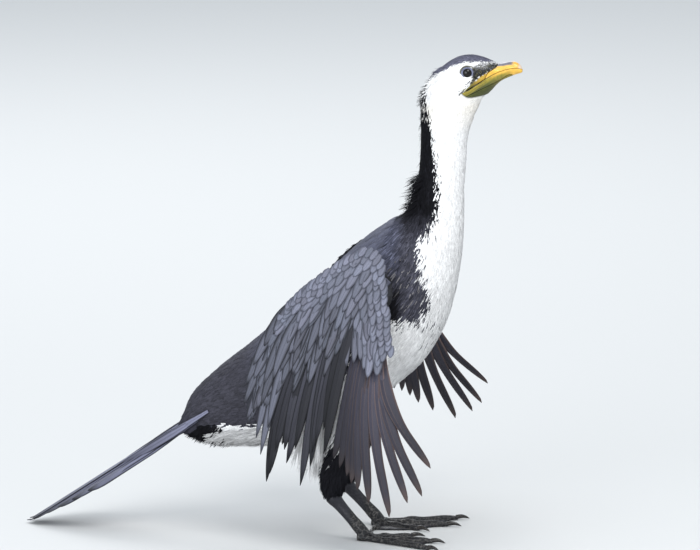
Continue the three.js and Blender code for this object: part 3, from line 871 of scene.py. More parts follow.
for key, roughness, coat in (("bill_upper", 0.32, 0.25), ("bill_lower", 0.36, 0.2)):
    horn = skin_material(key.replace("bill", "horn"), scale=400, roughness=roughness, bump=0.12,
                         mottled=300.0, specular=0.5, coat=coat)
    part = finish_piece(remesh(PARTS[key], VOXEL["bill"], 2), key + "_horn", horn, (key,))
    paint(part.data, "tint", bill_colour(mesh_points(part.data), key == "bill_lower"))

pouch = finish_piece(remesh(PARTS["gular_pouch"], VOXEL["pouch"], 2), "pouch_skin",
                     skin_material("pouch", scale=520.0, roughness=0.5, bump=0.5, mottled=380.0),
                     ("gular_pouch",))
paint(pouch.data, "tint", pouch_colour(mesh_points(pouch.data)))


def eye_material():
    material, tree, shader = new_material("eye")
    place = node(tree, "ShaderNodeTexCoord").outputs["Generated"]
    noise = node(tree, "ShaderNodeTexNoise", {"Vector": place, "Scale": 9.0, "Detail": 3.0})
    base = mix_colour(tree, noise.outputs["Fac"], (0.002, 0.002, 0.002, 1), (0.007, 0.005, 0.004, 1))
    tree.links.new(base, shader.inputs["Base Color"])
    shader.inputs["Roughness"].default_value = 0.04
    shader.inputs["Specular IOR Level"].default_value = 0.3
    return material


EYE_GLASS = eye_material()
LID_SKIN = skin_material("lid", (0.155, 0.170, 0.26), (0.07, 0.075, 0.12), scale=1400.0, roughness=0.4,
                         bump=0.3, mottled=500.0)
ORBIT_SKIN = skin_material("orbit", (0.035, 0.036, 0.035), (0.15, 0.135, 0.06), scale=1500.0,
                           roughness=0.55, bump=0.5, mottled=900.0)


def eye_ring(name, centre, look, right, top, out, radius, tube, beads, height, material):
    """A ring of small beads round the eye."""
    turn = np.linspace(0, 2 * np.pi, 240, endpoint=False)
    around = np.linspace(0, 2 * np.pi, 20, endpoint=False)
    bead = 1 + height * np.abs(np.sin(turn * beads / 2))
    axis = np.cos(turn)[:, None] * right + np.sin(turn)[:, None] * top * 0.95
    ring = (
        centre + look * out
        + axis[:, None] * (radius + tube * bead[:, None, None] * np.cos(around)[None, :, None])
        + look * (tube * bead[:, None] * np.sin(around)[None])[..., None]
    )
    r, s, _ = ring.shape
    i, j = grid(np.arange(r), np.arange(s))
    quads = np.stack([i * s + j, i * s + (j + 1) % s, (i + 1) % r * s + (j + 1) % s, (i + 1) % r * s + j],
                     -1).reshape(-1, 4)
    lid = make_mesh(name, *outward(ring.reshape(-1, 3), quads, np.zeros((0, 3), int)), slot="plumage_dark")
    lid.data.materials.append(material)


for side, label in SIDES:
    centre = np.array([EYE["x"], side * EYE["y"], EYE["z"]])
    look = unit(np.array([0.16, side, 0.05]))
    theta, phi = grid(np.linspace(0.02, np.pi - 0.02, 34), np.linspace(0, 2 * np.pi, 64, endpoint=False))
    right = unit(np.cross(look, [0, 0, 1]))
    top = np.cross(right, look)
    ball = centre + EYE["radius"] * (
        np.cos(theta)[..., None] * look + np.sin(theta)[..., None]
        * (np.cos(phi)[..., None] * right + np.sin(phi)[..., None] * top)
    )
    eye = make_mesh(f"eyeball_{label}", *loft(ball), slot="eye_dark")
    eye.data.materials.append(EYE_GLASS)
    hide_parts(f"eye_{label}")
    frame_of_eye = centre, look, right, top
    eye_ring(f"lid_{label}", *frame_of_eye, out=2.75, radius=4.15, tube=0.85, beads=30, height=0.14,
             material=LID_SKIN)
    eye_ring(f"orbit_{label}", *frame_of_eye, out=1.9, radius=5.3, tube=0.75, beads=34, height=0.25,
             material=ORBIT_SKIN)


# Wings.
def wing_sheet(side):
    wide = LEFT_WING[0] if side > 0 else 0
    raised = LEFT_WING[1] if side > 0 else 0

    def sheet(pqn):
        p, q, n = np.moveaxis(np.asarray(pqn, float), -1, 0)
        back = np.clip(-p / WING_DEPTH, 0, 1)
        slope = np.radians(lerp(WING_SLOPE[0] + wide, WING_SLOPE[1] + wide * 0.5, smooth(back)))
        tuck = 13 * back**2
        droop = np.maximum(q, 0)
        y = side * (WRIST["y"] - tuck + droop * np.sin(slope) + n * np.cos(slope))
        z = WRIST["z"] + raised - q * np.where(q > 0, np.cos(slope), 1) + n * np.sin(slope)
        return np.stack([WRIST["x"] + p, y, z], -1)

    return sheet


def sheet_normal(sheet, side, pqn):
    e = np.array([0.5, 0, 0]), np.array([0, 0.5, 0])
    dp = sheet(pqn + e[0]) - sheet(pqn - e[0])
    dq = sheet(pqn + e[1]) - sheet(pqn - e[1])
    return unit(np.cross(dq, dp)) * side


def laid(sheet, side, path):
    """Where a feather runs and its outward normals, for a path in the wing's sheet."""
    return lambda t: sheet(path(t)), lambda t: sheet_normal(sheet, side, path(t))


PRIMARY_TINT = np.array([0.020, 0.019, 0.028])
SECONDARY_TINT = np.array([0.012, 0.012, 0.016])
COVERT_TINT = np.array([0.168, 0.176, 0.232])
EDGE_DARK = np.array([0.006, 0.006, 0.008])
TIP_PALE = np.array([0.20, 0.13, 0.11])
# Tips of the ten primaries, inmost first. The outer four stand apart.
HAND_TIPS = [
    [-34, 163], [-28, 172], [-22, 177], [-16, 184], [-10.5, 191], [0, 200], [16.3, 207], [31.1, 199.7],
    [41, 190.6], [47, 168.7],
]
# The wing's front and upper edge in its sheet, from the hand over the wrist to the elbow.
WING_EDGE = [
    [11, 74], [8, 54], [3.8, 30], [1.5, 12], [-1.5, -1], [-9, -6.4], [-28, 2], [-47, 15.5], [-65, 30],
    [-76, 41],
]


class Cells:
    """Places in the OFBake map, one after the other."""

    def __init__(self, columns, rows):
        self.columns, self.rows, self.next = columns, rows, 0

    def take(self):
        c, r = self.next % self.columns, self.next // self.columns
        self.next += 1
        w, h = 1 / self.columns, 1 / self.rows
        return (c * w + 0.05 * w, r * h + 0.02 * h, (w * 0.9, h * 0.96))


def vary(colour, n, amount=0.12):
    return np.clip(np.asarray(colour)[None] * RNG.uniform(1 - amount, 1 + amount, (n, 1)), 0, 1)


def flight_row(batch, cells, sheet, side, roots, tips, widths, level, stack, bows, tints, rims, lead=0.42,
               roll=7.0, jitter=1.0, notches=None, tip_round=0.3, point=0.6, thick=0.45):
    """Flight feathers side by side, from the front of the wing to its back."""
    notches = np.zeros(len(roots)) if notches is None else notches
    for i, (root, tip) in enumerate(zip(roots, tips)):
        lift, shift, reach = RNG.normal(0, 0.3), RNG.normal(0, jitter), RNG.uniform(0.975, 1.02)

        def path(t):
            t = t * reach
            p = lerp(root[0], tip[0], t) - bows[i] * np.sin(np.pi * np.clip(t, 0, 1)) + shift * t**2
            q = lerp(root[1], tip[1], t)
            return np.column_stack([p, q, level - stack * i * (1 - smooth(t / 0.6)) + lift * t])

        blade(batch, *laid(sheet, side, path), widths[i], cells.take(),
              tints[i], rims[i], steps=34, thick=thick, narrow=0.5, tip_round=tip_round, point=point,
              camber=0.035,
              lead=lead if side < 0 else 1 - lead, roll=-side * math.radians(roll), notch=notches[i])


# The coverts' rows: how far behind the wing's edge, the feathers' length and their width.
COVERT_ROWS = [
    (0, 10, 6.0), (4.6, 13, 6.5), (10, 18, 7.2), (16.5, 25, 7.6), (24, 32, 8.0), (33, 38, 8.4),
    (44, 43, 8.8), (56, 47, 9.0), (68, 48, 9.0),
]
# Long pointed feathers at the wing's rear edge: root and tip of each in the sheet, the lowest first.
REAR_COVERTS = [
    ((-70, 62), (-98, 163)), ((-73, 60), (-102, 150)), ((-75, 54), (-107, 137)),
    ((-66, 56), (-92, 141)), ((-77, 50), (-112.5, 124)), ((-68, 50), (-98, 124)),
    ((-76, 46), (-111, 108)), ((-66, 44), (-96, 107)), ((-74, 42), (-105, 92)), ((-62, 42), (-88, 102)),
    ((-70, 37), (-96, 76)), ((-64, 33), (-88, 66)),
]


def covert_roots(edge, last, reach):
    """Share along the wing's edge, depth, length and width of each covert, the rearmost first."""
    places = []
    fine = np.linspace(0, last, 600)
    line = edge(fine)
    length = np.concatenate([[0], np.cumsum(np.linalg.norm(np.diff(line, axis=0), axis=1))])
    for row, (depth, long, wide) in enumerate(COVERT_ROWS):
        step = wide * 0.78
        at = np.arange(step * (0.25 + 0.5 * (row % 2)), length[-1], step)
        share = np.interp(at + RNG.normal(0, 0.16 * step, len(at)), length, fine / last)
        for k in np.flatnonzero(depth <= reach(share)):
            places.append((share[k], depth + RNG.normal(0, 0.05 * long), long, wide))
    return sorted(places, key=lambda place: -place[1])


def build_wing(side, label):
    sheet = wing_sheet(side)
    batch = Batch()
    cells = Cells(32, 24)
    # Ten primaries, the outermost at the leading edge, and the outer ones notched.
    roots = lerp(np.array([-9.0, 28.0]), np.array([2.0, 72.0]), np.linspace(0, 1, 10)[:, None])
    rims = lerp(EDGE_DARK * 2, TIP_PALE,
                np.linspace(0.05, 0.36, 10)[:, None]) * RNG.uniform(0.8, 1.2, (10, 1))
    flight_row(batch, cells, sheet, side, roots, HAND_TIPS, np.linspace(8.2, 10.0, 10), -4.0, 0.45,
               np.linspace(1, 13, 10),
               vary(PRIMARY_TINT, 10, 0.2), rims, lead=0.33, notches=np.linspace(0.05, 0.3, 10), jitter=0.6,
               tip_round=0.25, point=0.55)
    # Secondaries, from the wrist to the elbow, with ragged ends.
    share = np.linspace(0, 1, 14)[:, None]
    roots = lerp(np.array([-15.0, 26.0]), np.array([-68.0, 68.0]), share)
    tips = lerp(np.array([-40.0, 154.0]), np.array([-96.0, 173.0]), share)
    tips += np.column_stack([np.zeros(14), RNG.normal(0, 6.0, 14)])
    tips[-1] += [0, 5]
    flight_row(batch, cells, sheet, side, roots, tips, RNG.uniform(7.6, 9.6, 14), 0, 0, np.full(14, 3.0),
               vary(SECONDARY_TINT * 1.3, 14, 0.7),
               vary(EDGE_DARK * 0.6, 14), lead=0.38, roll=13.0, jitter=2.6, tip_round=0.38, point=0.75)
    batch.make(f"flight_{label}", "wing_grey", FLIGHT_FEATHER)

    # Coverts: short and scale-like along the edge, longer and pointed further back.
    batch = Batch()
    lower = np.interp(np.arange(len(WING_EDGE)), [0, 4, 6, 11], [0, 0, 1, 1]) * (13 if side > 0 else 0)
    edge = Spline(np.array(WING_EDGE) + np.column_stack([0 * lower, lower]))
    last = len(WING_EDGE) - 1
    reach = lambda s: np.interp(s, [0, 0.22, 0.42, 0.7, 0.9, 1], [12, 30, 64, 72, 72, 66])
    for s0, d0, length, width in covert_roots(edge, last, reach):
        at = edge(np.array([s0 * last]))[0]
        hand = 1 - smooth((s0 - 0.25) / 0.25)
        inward = unit(lerp(np.array([-0.42, 0.9]), np.array([-0.95, 0.55]), hand))
        root = at + inward * d0
        grow = smooth(d0 / 50)
        turn = math.radians(lerp(lerp(34, 17, grow), lerp(6, -2, grow), hand) + RNG.normal(0, 3.5))
        down = np.array([-math.sin(turn), math.cos(turn)])
        length *= RNG.uniform(0.88, 1.12) * lerp(1, 1.15, hand * grow)
        width *= RNG.uniform(0.92, 1.08)
        bright = RNG.uniform(0.72, 1.15) * lerp(1.0, 0.52, grow) * lerp(1.0, 1.05, hand * grow)
        skew = RNG.normal(0, 0.15)

        def path(t):
            pq = root + down * (length * t)[:, None]
            level = 1.0 + 2.4 * (1 - smooth((d0 + length * t) / 95)) - 1.1 * (1 - t) ** 1.3
            level += (0.5 + skew) * t
            return np.column_stack([pq, level - 2.4 * hand * smooth(d0 / 18)])

        tint = COVERT_TINT * bright * np.array([1.0 + 0.1 * skew, 1.0, 1.0])
        blade(batch, *laid(sheet, side, path), width, cells.take(), tint,
              lerp(tint * 0.5, tint * 0.22, grow), steps=13, thick=0.24, narrow=0.6,
              tip_round=lerp(0.6, 0.62, grow), point=lerp(0.65, 0.85, grow), camber=0.03, lead=0.5,
              roll=-side * math.radians(2 + RNG.normal(0, 1.5)), fine=False)
    for i, (root, tip) in enumerate(REAR_COVERTS):
        root, tip = np.array(root, float), np.array(tip, float)
        if side > 0:
            root, tip = root + [6, 24], tip + [0, 8]

        def path(t):
            pq = lerp(root, tip, t[:, None]) - np.array([2.5, 0]) * np.sin(np.pi * t)[:, None]
            return np.column_stack([pq, 0.4 + (0.2 * i if side < 0 else 0) + 0.6 * t])

        tint = COVERT_TINT * RNG.uniform(0.42, 0.7)
        blade(batch, *laid(sheet, side, path), 9.6, cells.take(), tint,
              tint * 0.2, steps=20, thick=0.3, narrow=0.6, tip_round=0.6, point=0.8, camber=0.03,
              roll=-side * math.radians(5))
    batch.make(f"coverts_{label}", "wing_grey", COVERT_FEATHER)
    return sheet


SHEETS = {side: build_wing(side, label) for side, label in SIDES}


# Tail.
def on_body(u, v):
    """Station and angle of the body's right side that the picture shows at (u, v)."""
    s, a = grid(np.linspace(0, 8, 161), -np.radians(np.arange(20, 150, 1.5)))
    s, a = s.ravel(), a.ravel()
    x, y = side_view(body_point(s, a))
    best = np.argmin((x - u) ** 2 + (y - v) ** 2)
    return s[best : best + 1], a[best : best + 1]


def tail_point(along, across, up):
    slope = math.asin((TAIL["z"] - 1) / TAIL["length"])
    c, s = math.cos(slope), math.sin(slope)
    return np.stack([TAIL["x"] - along * c + up * s, across + 0 * along, TAIL["z"] - along * s + up * c],
                    -1)


# Feathers over the tail's root: where each leaves the body, and its tip along, across and over the tail.
RUMP_FEATHERS = [((208, 409), (60, 6, -1)), ((203, 413), (84, 8, -3)), ((198, 418), (50, 10, -5))]


def build_tail():
    batch = Batch()
    cells = Cells(6, 3)
    slope = math.asin((TAIL["z"] - 1) / TAIL["length"])
    up = np.array([math.sin(slope), 0, math.cos(slope)])
    for pair in range(6):
        for side in (-1, 1):
            t = pair / 5
            reach = TAIL["length"] * (1 - 0.42 * t**1.25)
            spread = math.tan(math.radians(1.2 + 8.8 * t))
            layer = -(2 * pair + (0 if side > 0 else 1)) * TAIL["layer"]

            def path(u):
                along = lerp(2, reach, u)
                p = tail_point(along, side * (1.2 + 6 * t + along * spread), layer + 0 * u)
                p[:, 2] = np.maximum(p[:, 2], 0.8 + 0.25 * (5 * (1 - t)))
                return p

            tint = np.array([0.098, 0.101, 0.145]) * RNG.uniform(0.65, 1.15)
            blade(batch, path, lambda u: np.tile(up, (len(u), 1)), 15.5, cells.take(), tint, EDGE_DARK,
                  steps=34, thick=0.5, narrow=0.6, tip_round=0.2, lead=0.44 if side > 0 else 0.56,
                  roll=side * math.radians(RNG.uniform(1, 9)), camber=0.09)
    # Feathers that lie over the side of the rump at the tail's root.
    for side in (-1, 1):
        for k, ((u0, v0), end) in enumerate(RUMP_FEATHERS):
            begin = body_point(*on_body(u0, v0), 0.6)[0] * [1, -side, 1]
            finish = tail_point(np.array([end[0]]), side * end[1], end[2])[0]

            def path(u):
                bulge = np.array([0, side * 2.6, -0.5]) * np.sin(np.pi * u)[:, None]
                return lerp(begin, finish, u[:, None]) + bulge

            tint = np.array([0.075, 0.077, 0.108]) * RNG.uniform(0.7, 1.1)
            blade(batch, path, lambda u: np.tile(unit(up + [0, side * 1.1, 0]), (len(u), 1)), 6.0,
                  (0.03 + 0.15 * k, 0.82 + 0.09 * (side > 0), (0.12, 0.08)),
                  tint, EDGE_DARK, steps=20, thick=0.4, narrow=0.5, tip_round=0.5, point=0.8)
    obj = batch.make("tail_feathers", "wing_grey", FLIGHT_FEATHER)
    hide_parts("tail")


build_tail()


# Legs.
TOES = {"hind": (-88, 22, 3.0), "inner": (-26, 41, 3.2), "middle": (4, 57, 3.5), "outer": (30, 68, 3.5)}
TOE_STEPS = [-0.06, 0.3, 0.42, 0.56, 0.84, 1]
TOE_SWELL = [1.05, 0.85, 0.98, 0.76, 0.78, 0.55]


def toe_direction(turn, side):
    a = math.radians(turn)
    return np.array([math.cos(a), side * math.sin(a), 0])


def on_floor(v):
    v[:, 2] = np.maximum(v[:, 2], 0)
    return v


def build_leg(side, label):
    joint = np.array(TOE_JOINT) * [1, side, 1]
    heel = np.array(HEEL) * [1, side, 1]
    ground = joint * [1, 1, 0]
    parts = []
    steps = np.array([-0.14, 0.02, 0.22, 0.6, 0.9, 1.12])
    shank = limb_rings(heel + (joint - heel) * steps[:, None], [3, 6.3, 4.4, 4.0, 4.9, 4.6],
                       [3, 6, 5, 4.5, 5, 4.2], (1, 0, 0.4), 32, 60)
    parts.append(loft(shank))
    tips = []
    for name, (turn, length, r) in TOES.items():
        d = toe_direction(turn, side)
        widths = r * np.array(TOE_SWELL)
        path = ground + d * length * np.array(TOE_STEPS)[:, None] + [0, 0, 1] * (widths * 0.62)[:, None]
        rings = limb_rings(path, widths, widths, (0, 0, 1), 24, 44)
        parts.append(loft(rings))
        tips.append((d, length))
    # The web spans all four toes, scalloped between their tips.
    n, m = 48, 14
    for (d0, l0), (d1, l1) in zip(tips, tips[1:]):
        s = np.linspace(0, 1, n)
        d = unit(lerp(d0, d1, s[:, None]))
        edge = lerp(l0, l1, s) * 0.93 * (1 - 0.16 * np.sin(np.pi * s))
        out = ground + d * edge[:, None]
        r = np.linspace(0, 1, m)[:, None, None]
        grid = lerp(ground, out[None], r)
        fold = 0.22 * np.sin(s * np.pi * 9)[None] * r[..., 0]
        high = 1.5 + fold - 0.35 * r[..., 0]
        top = grid + np.stack([0 * high, 0 * high, high], -1)
        low = grid + np.stack([0 * high, 0 * high, 0 * high + 0.45], -1)
        ring = np.concatenate([top, low[:, ::-1]], 1)
        parts.append(loft(ring))
    pad = limb_rings(ground + np.array([[-5, 0, 2.6], [7, 0, 2.4]]), [5.5, 7], [4, 4], (0, 0, 1), 24, 16)
    parts.append(loft(pad))
    v, q, t = combine(parts)
    leg = remesh(make_mesh(f"leg_{label}", on_floor(v), q, t), VOXEL["leg"], 2)
    finish_piece(leg, f"leg_{label}", LEG_SKIN, (f"shank_{label}", f"foot_{label}"))
    p = mesh_points(leg.data)
    flat = p * [1, 1, 0] - ground
    far = np.linalg.norm(flat, axis=1)
    from_toes = [np.linalg.norm(flat - np.clip(flat @ d, 0, l)[:, None] * d, axis=1) for d, l in tips]
    nearest = np.min(from_toes, axis=0)
    web = smooth((nearest - 3.2) / 2.0) * smooth((far - 8) / 6)
    # Small scales: a cell pattern pressed into the mesh, pale along its grooves.
    seeds = p[RNG.choice(len(p), size=int(len(p) / (42)), replace=False)]
    tree = KDTree(len(seeds))
    for i, co in enumerate(seeds):
        tree.insert(co, i)
    tree.balance()
    near = np.array([[hit[2] for hit in tree.find_n(co, 2)] for co in p])
    groove = 1 - smooth((near[:, 1] - near[:, 0]) / 0.45)
    groove *= 1 - 0.7 * web
    normals = np.empty(len(p) * 3, np.float32)
    leg.data.vertices.foreach_get("normal", normals)
    moved = on_floor(p - normals.reshape(-1, 3) * (groove * 0.16)[:, None])
    leg.data.vertices.foreach_set("co", world(moved).astype(np.float32).ravel())
    leg.data.update()
    tint = lerp(np.array([0.007, 0.007, 0.009]), np.array([0.020, 0.020, 0.026]), web[:, None])
    tint = lerp(tint, np.array([0.16, 0.15, 0.14]), (groove * 0.5 * (1 - web))[:, None])
    paint(leg.data, "tint", tint)
    for name, (turn, length, r) in TOES.items():
        d = toe_direction(turn, side)
        at = ground + d * (length - 1.2)
        path = at + d * np.array([0, 3, 6.2, 9, 11.2])[:, None]
        path += [0, 0, 1] * np.array([2.0, 2.5, 2.3, 1.4, 0.35])[:, None]
        rings = limb_rings(path, [1.75, 1.6, 1.25, 0.8, 0.2], [1.85, 1.75, 1.35, 0.85, 0.2], (0, 0, 1), 20,
                           28)
        v, q, t = loft(rings)
        claw = make_mesh(f"nail_{name}_{label}", on_floor(v), q, t, slot="claw_black")
        claw.data.materials.append(CLAW_HORN)
        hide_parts(f"claw_{name}_{label}")


LEG_SKIN = skin_material("leg", scale=620.0, roughness=0.45, bump=0.7, mottled=260.0, specular=0.3)
CLAW_HORN = skin_material("claw", (0.012, 0.011, 0.011), (0.035, 0.03, 0.027), scale=900.0, roughness=0.25,
                          bump=0.1, mottled=500.0)
for side, label in SIDES:
    build_leg(side, label)


# Wing arms, under the feathers.
def build_arm(side, label):
    sheet = SHEETS[side]
    at = lambda p, q, n: sheet(np.array([p, q, n], float))
    shoulder = body_point(7.0, side * math.radians(70), -10.0)
    beside = body_point(6.2, side * math.radians(76), -3.0)
    elbow, middle, wrist = at(-68, 62, -4), at(-38, 36, -4.5), at(-9, 8, -4)
    limbs = [
        ([shoulder, beside, at(-44, 40, -9), elbow], [14, 14, 14, 8], [9, 8, 7, 4.5]),
        ([elbow, middle, wrist], [14, 18, 11], [4.5, 5.5, 5.5]),
        ([beside, at(-34, 22, -9), wrist], [6, 6, 6], [5, 4.5, 4]),
        ([wrist, at(-5, 30, -6.0), at(-4, 56, -6.0), at(-2, 78, -5.5)], [9, 9, 8, 3], [5, 4.8, 4, 2]),
    ]
    parts = [loft(limb_rings(path, w, h, (0, side, 0.3), 32, 48)) for path, w, h in limbs]
    v, q, t = combine(parts)
    arm = finish_piece(remesh(make_mesh(f"arm_{label}", v, q, t), VOXEL["arm"], 4), f"arm_{label}",
                       ARM_SKIN, (f"wing_{label}", f"hand_{label}"))
    return arm


# Near-black arm skin: the dark of the feathers over the arms, and painted shade of the armpit under the
# wing.
ARM_SKIN = skin_material("arm", (0.012, 0.012, 0.015), (0.03, 0.031, 0.038), scale=700.0, roughness=0.8,
                         bump=0.3)
ARMS = {side: build_arm(side, label) for side, label in SIDES}


# Coat.
def scatter(weights, count):
    """count evenly spread places over a grid of weights, as shares of its two sides."""
    rows = weights.sum(1)
    k = np.arange(count)
    x, y = (0.5 + k * 0.7548776662) % 1, (0.5 + k * 0.5698402910) % 1
    down = np.concatenate([[0], np.cumsum(rows)]) / rows.sum()
    place = np.interp(x, down, np.arange(len(down)))
    row = np.minimum(place.astype(int), len(rows) - 1)
    across = np.cumsum(weights, 1)
    across = np.column_stack([np.zeros(len(across)), across]) / across[:, -1:]
    col = np.empty(count)
    for r in range(len(rows)):
        here = row == r
        col[here] = np.interp(y[here], across[r], np.arange(across.shape[1]))
    return place / len(rows), col / weights.shape[1]


def body_roots(first, last, spacing):
    """Stations and angles of evenly spread roots between two stations, so many millimetres apart."""
    s, a = grid(np.linspace(first, last, 260), np.linspace(-np.pi, np.pi, 181))
    p = body_point(s, a)
    d0, d1 = np.diff(p, axis=0)[:, :-1], np.diff(p, axis=1)[:-1]
    area = np.linalg.norm(np.cross(d0, d1), axis=-1)
    weights = area / spacing**2
    x, y = scatter(weights, int(weights.sum()))
    return lerp(first, last, x), lerp(-np.pi, np.pi, y)


def swirl(lie, normal, amount):
    side = np.cross(lie, normal)
    return unit(lie + side * RNG.normal(0, amount, (len(lie), 1)))


def body_bake(station, angle):
    return np.column_stack([(angle / (2 * np.pi)) % 1, 0.16 + 0.83 * station / LAST])


HEAD_PATCH = [
    (40, 395), (100, 396), (118.2, 389), (118.8, 382), (112.2, 376.8), (109.6, 372.4), (105.5, 369.2),
    (98, 364.4), (91.5, 362.8), (90.5, 361.8), (96.6, 357.0), (103, 356.7), (111, 357.8), (118, 358),
    (118, 325), (40, 325),
]


def off_the_eyes(p, gap=5.6):
    centre = np.array([EYE["x"], EYE["y"], EYE["z"]])
    return np.linalg.norm((p - centre * np.sign(p[:, 1:2] + 1e-9) ** [0, 1, 0])[:, [0, 2]], axis=1) > gap


def silk(name, first, last, spacing, length, width, rise, keep=None, rows=4, wild=0.12):
    """Narrow silky tufts over part of the body. length, width and rise are numbers or functions."""
    s, a = body_roots(first, last, spacing)
    depth = coat_depth(s)
    p, normal, lie = body_frame(s, a, -depth)
    at = body_point(s, a)
    good = np.ones(len(s), bool) if keep is None else keep(s, a, at)
    s, a, p, normal, lie, at = (v[good] for v in (s, a, p, normal, lie, at))
    n = len(s)
    banding = 1 + 0.05 * np.sin(a * 23 + 3 * np.sin(s * 2.3))
    tint = plumage_colour(at) * RNG.uniform(0.76, 1.02, (n, 1)) * banding[:, None]

    def value(f, spread):
        return (f(s, a) if callable(f) else np.full(n, float(f))) * RNG.uniform(1 - spread, 1 + spread, n)

    clump = 0.10 * np.sin(s * 9 + 2.2 * np.sin(a * 7)) + RNG.normal(0, wild, n)
    lie = unit(lie + np.cross(lie, normal) * clump[:, None])
    batch = Batch()
    tufts(batch, p, normal, lie, value(length, 0.25), value(width, 0.2), value(rise, 0.12) * 1.5, tint,
          body_bake(s, a), rows=rows, droop=0.74)
    batch.make(name, "plumage_white", BODY_FEATHER)


def nape_shag(s, a):
    """How far the plumage stands out on the back of the lower neck."""
    return np.exp(-(((s - 10.2) / 1.1) ** 2)) * smooth((np.cos(a) - 0.2) / 0.6)


def contour_zone(at):
    u, v = side_view(at)
    return inside(MANTLE, u, v)


def silk_zone(s, a, at):
    """Where silky tufts grow: all but the back, with a ragged edge."""
    u, v = side_view(at)
    return ~inside(MANTLE, u + RNG.normal(-4, 4, len(u)), v)


FINE = 1.0
silk("coat_belly", 0.25, 4.6, 1.4 * FINE, 12, 1.5, 2.7, keep=silk_zone)
silk("coat_breast", 4.4, 6.6, 1.2 * FINE, 12, 1.3, 2.6, keep=silk_zone)
silk("coat_bosom", 6.4, 8.4, 1.15 * FINE, 12, 1.2, 2.5, keep=silk_zone)
silk("coat_chest", 8.2, 11.2, 0.86 * FINE,
     lambda s, a: 10.5 + 3 * nape_shag(s, a),
     1.0,
     lambda s, a: 2.1 + 2.6 * nape_shag(s, a),
     keep=silk_zone, wild=0.15)
silk("coat_neck", 11.0, 14.3, 0.7 * FINE, 8.5, 0.85,
     lambda s, a: 1.5 + 0.8 * smooth((np.cos(a) - 0.5) / 0.4),
     wild=0.15)
silk("coat_nape", 14.1, 17.4, 0.6 * FINE,
     lambda s, a: 6.4 + 1.2 * smooth((np.cos(a) - 0.4) / 0.5),
     0.72,
     lambda s, a: 1.15 + 1.2 * smooth((np.cos(a) - 0.55) / 0.4),
     keep=lambda s, a, at: inside(HEAD_PATCH, at[:, 0], at[:, 2]) | (s < 14.5),
     wild=0.14)


def face(s, a, at):
    u, v = side_view(at)
    bare = inside(LORES, u, v) | inside(RICTUS, u, v)
    return inside(HEAD_PATCH, at[:, 0], at[:, 2]) & off_the_eyes(at) & ~bare


def over_face(values):
    return lambda s, a: np.interp(s, [17, 20, 22.6], values)


silk("coat_face", 17.2, 22.8, 0.42 * FINE, over_face([4.8, 3.3, 1.8]), over_face([0.62, 0.5, 0.4]),
     over_face([0.95, 0.7, 0.45]), keep=face, rows=3, wild=0.1)


def build_arm_coat():
    """Short dark feathers on the arms, where the wing feathers leave them bare."""
    batch = Batch()
    for side, _ in SIDES:
        mesh = ARMS[side].data
        mesh.calc_loop_triangles()
        corner = mesh_points(mesh)[np.array([t.vertices[:] for t in mesh.loop_triangles])]
        normal = np.cross(corner[:, 1] - corner[:, 0], corner[:, 2] - corner[:, 0])
        area = np.linalg.norm(normal, axis=1) / 2
        area[unit(normal) @ np.array([0, side * 0.94, 0.34]) > 0.2] = 0
        n = int(area.sum() / (1.45 * FINE) ** 2)
        pick = np.minimum(np.searchsorted(np.cumsum(area) / area.sum(), RNG.random(n)), len(area) - 1)
        one, two = np.sqrt(RNG.random((n, 1))), RNG.random((n, 1))
        p = corner[pick, 0] * (1 - one) + corner[pick, 1] * one * (1 - two) + corner[pick, 2] * one * two
        normal = unit(normal[pick])
        lie = np.tile(unit(np.array([-0.5, side * 0.08, -0.85])), (n, 1)) + RNG.normal(0, 0.1, (n, 3))
        lie = square_to(lie, normal)
        tint = np.array([0.022, 0.022, 0.028]) * RNG.uniform(0.4, 1.5, (n, 1))
        axis = np.arctan2(p[:, 2] - 236, p[:, 0] - 38)
        bake = np.column_stack([0.25 + 0.5 * (side > 0) + 0.2 * axis / np.pi,
                                0.05 + 0.9 * np.clip((p[:, 1] * side - 15) / 75, 0, 1)])
        tufts(batch, p, normal, lie, RNG.uniform(4, 7, n), RNG.uniform(1.2, 2.0, n),
              RNG.uniform(0.5, 1.1, n), tint, bake, rows=4, droop=0.7)
    batch.make("coat_arms", "plumage_dark", BODY_FEATHER)


build_arm_coat()


def build_contours():
    """Broad dark feathers of the back, rump and flanks, in overlapping scallops."""
    s, a = body_roots(0.3, 9.6, 2.1 * FINE)
    at = body_point(s, a)
    good = contour_zone(at)
    s, a, at = s[good], a[good], at[good]
    p, normal, lie = body_frame(s, a, -coat_depth(s) * 0.8)
    n = len(s)
    mantle = smooth((np.cos(a) - 0.1) / 0.5) * smooth((s - 2.5) / 2)
    length = lerp(10, 13, mantle) * RNG.uniform(0.8, 1.2, n)
    width = lerp(2.6, 5.2, mantle) * RNG.uniform(0.85, 1.1, n)
    tone = lerp(np.array([0.036, 0.035, 0.047]), MANTLE_TINT * 0.9, mantle[:, None])
    tone = tone * RNG.uniform(0.7, 1.3, (n, 1))
    order = np.argsort(s)
    batch = Batch()
    tufts(batch, p[order], normal[order], swirl(lie, normal, 0.06)[order], length[order], width[order],
          (RNG.uniform(2.2, 2.9, n))[order],
          tone[order], body_bake(s, a)[order], rim=(tone * 0.45)[order], ridged=True, rows=5, droop=0.65)
    batch.make("coat_back", "plumage_dark", CONTOUR_FEATHER)


build_contours()


# Each row's first angle round the body, and its last station and angle.
SCAPULAR_ROWS = [(40, 4.2, 26), (49, 3.9, 36), (58, 3.6, 46), (67, 3.4, 57), (76, 3.2, 68)]


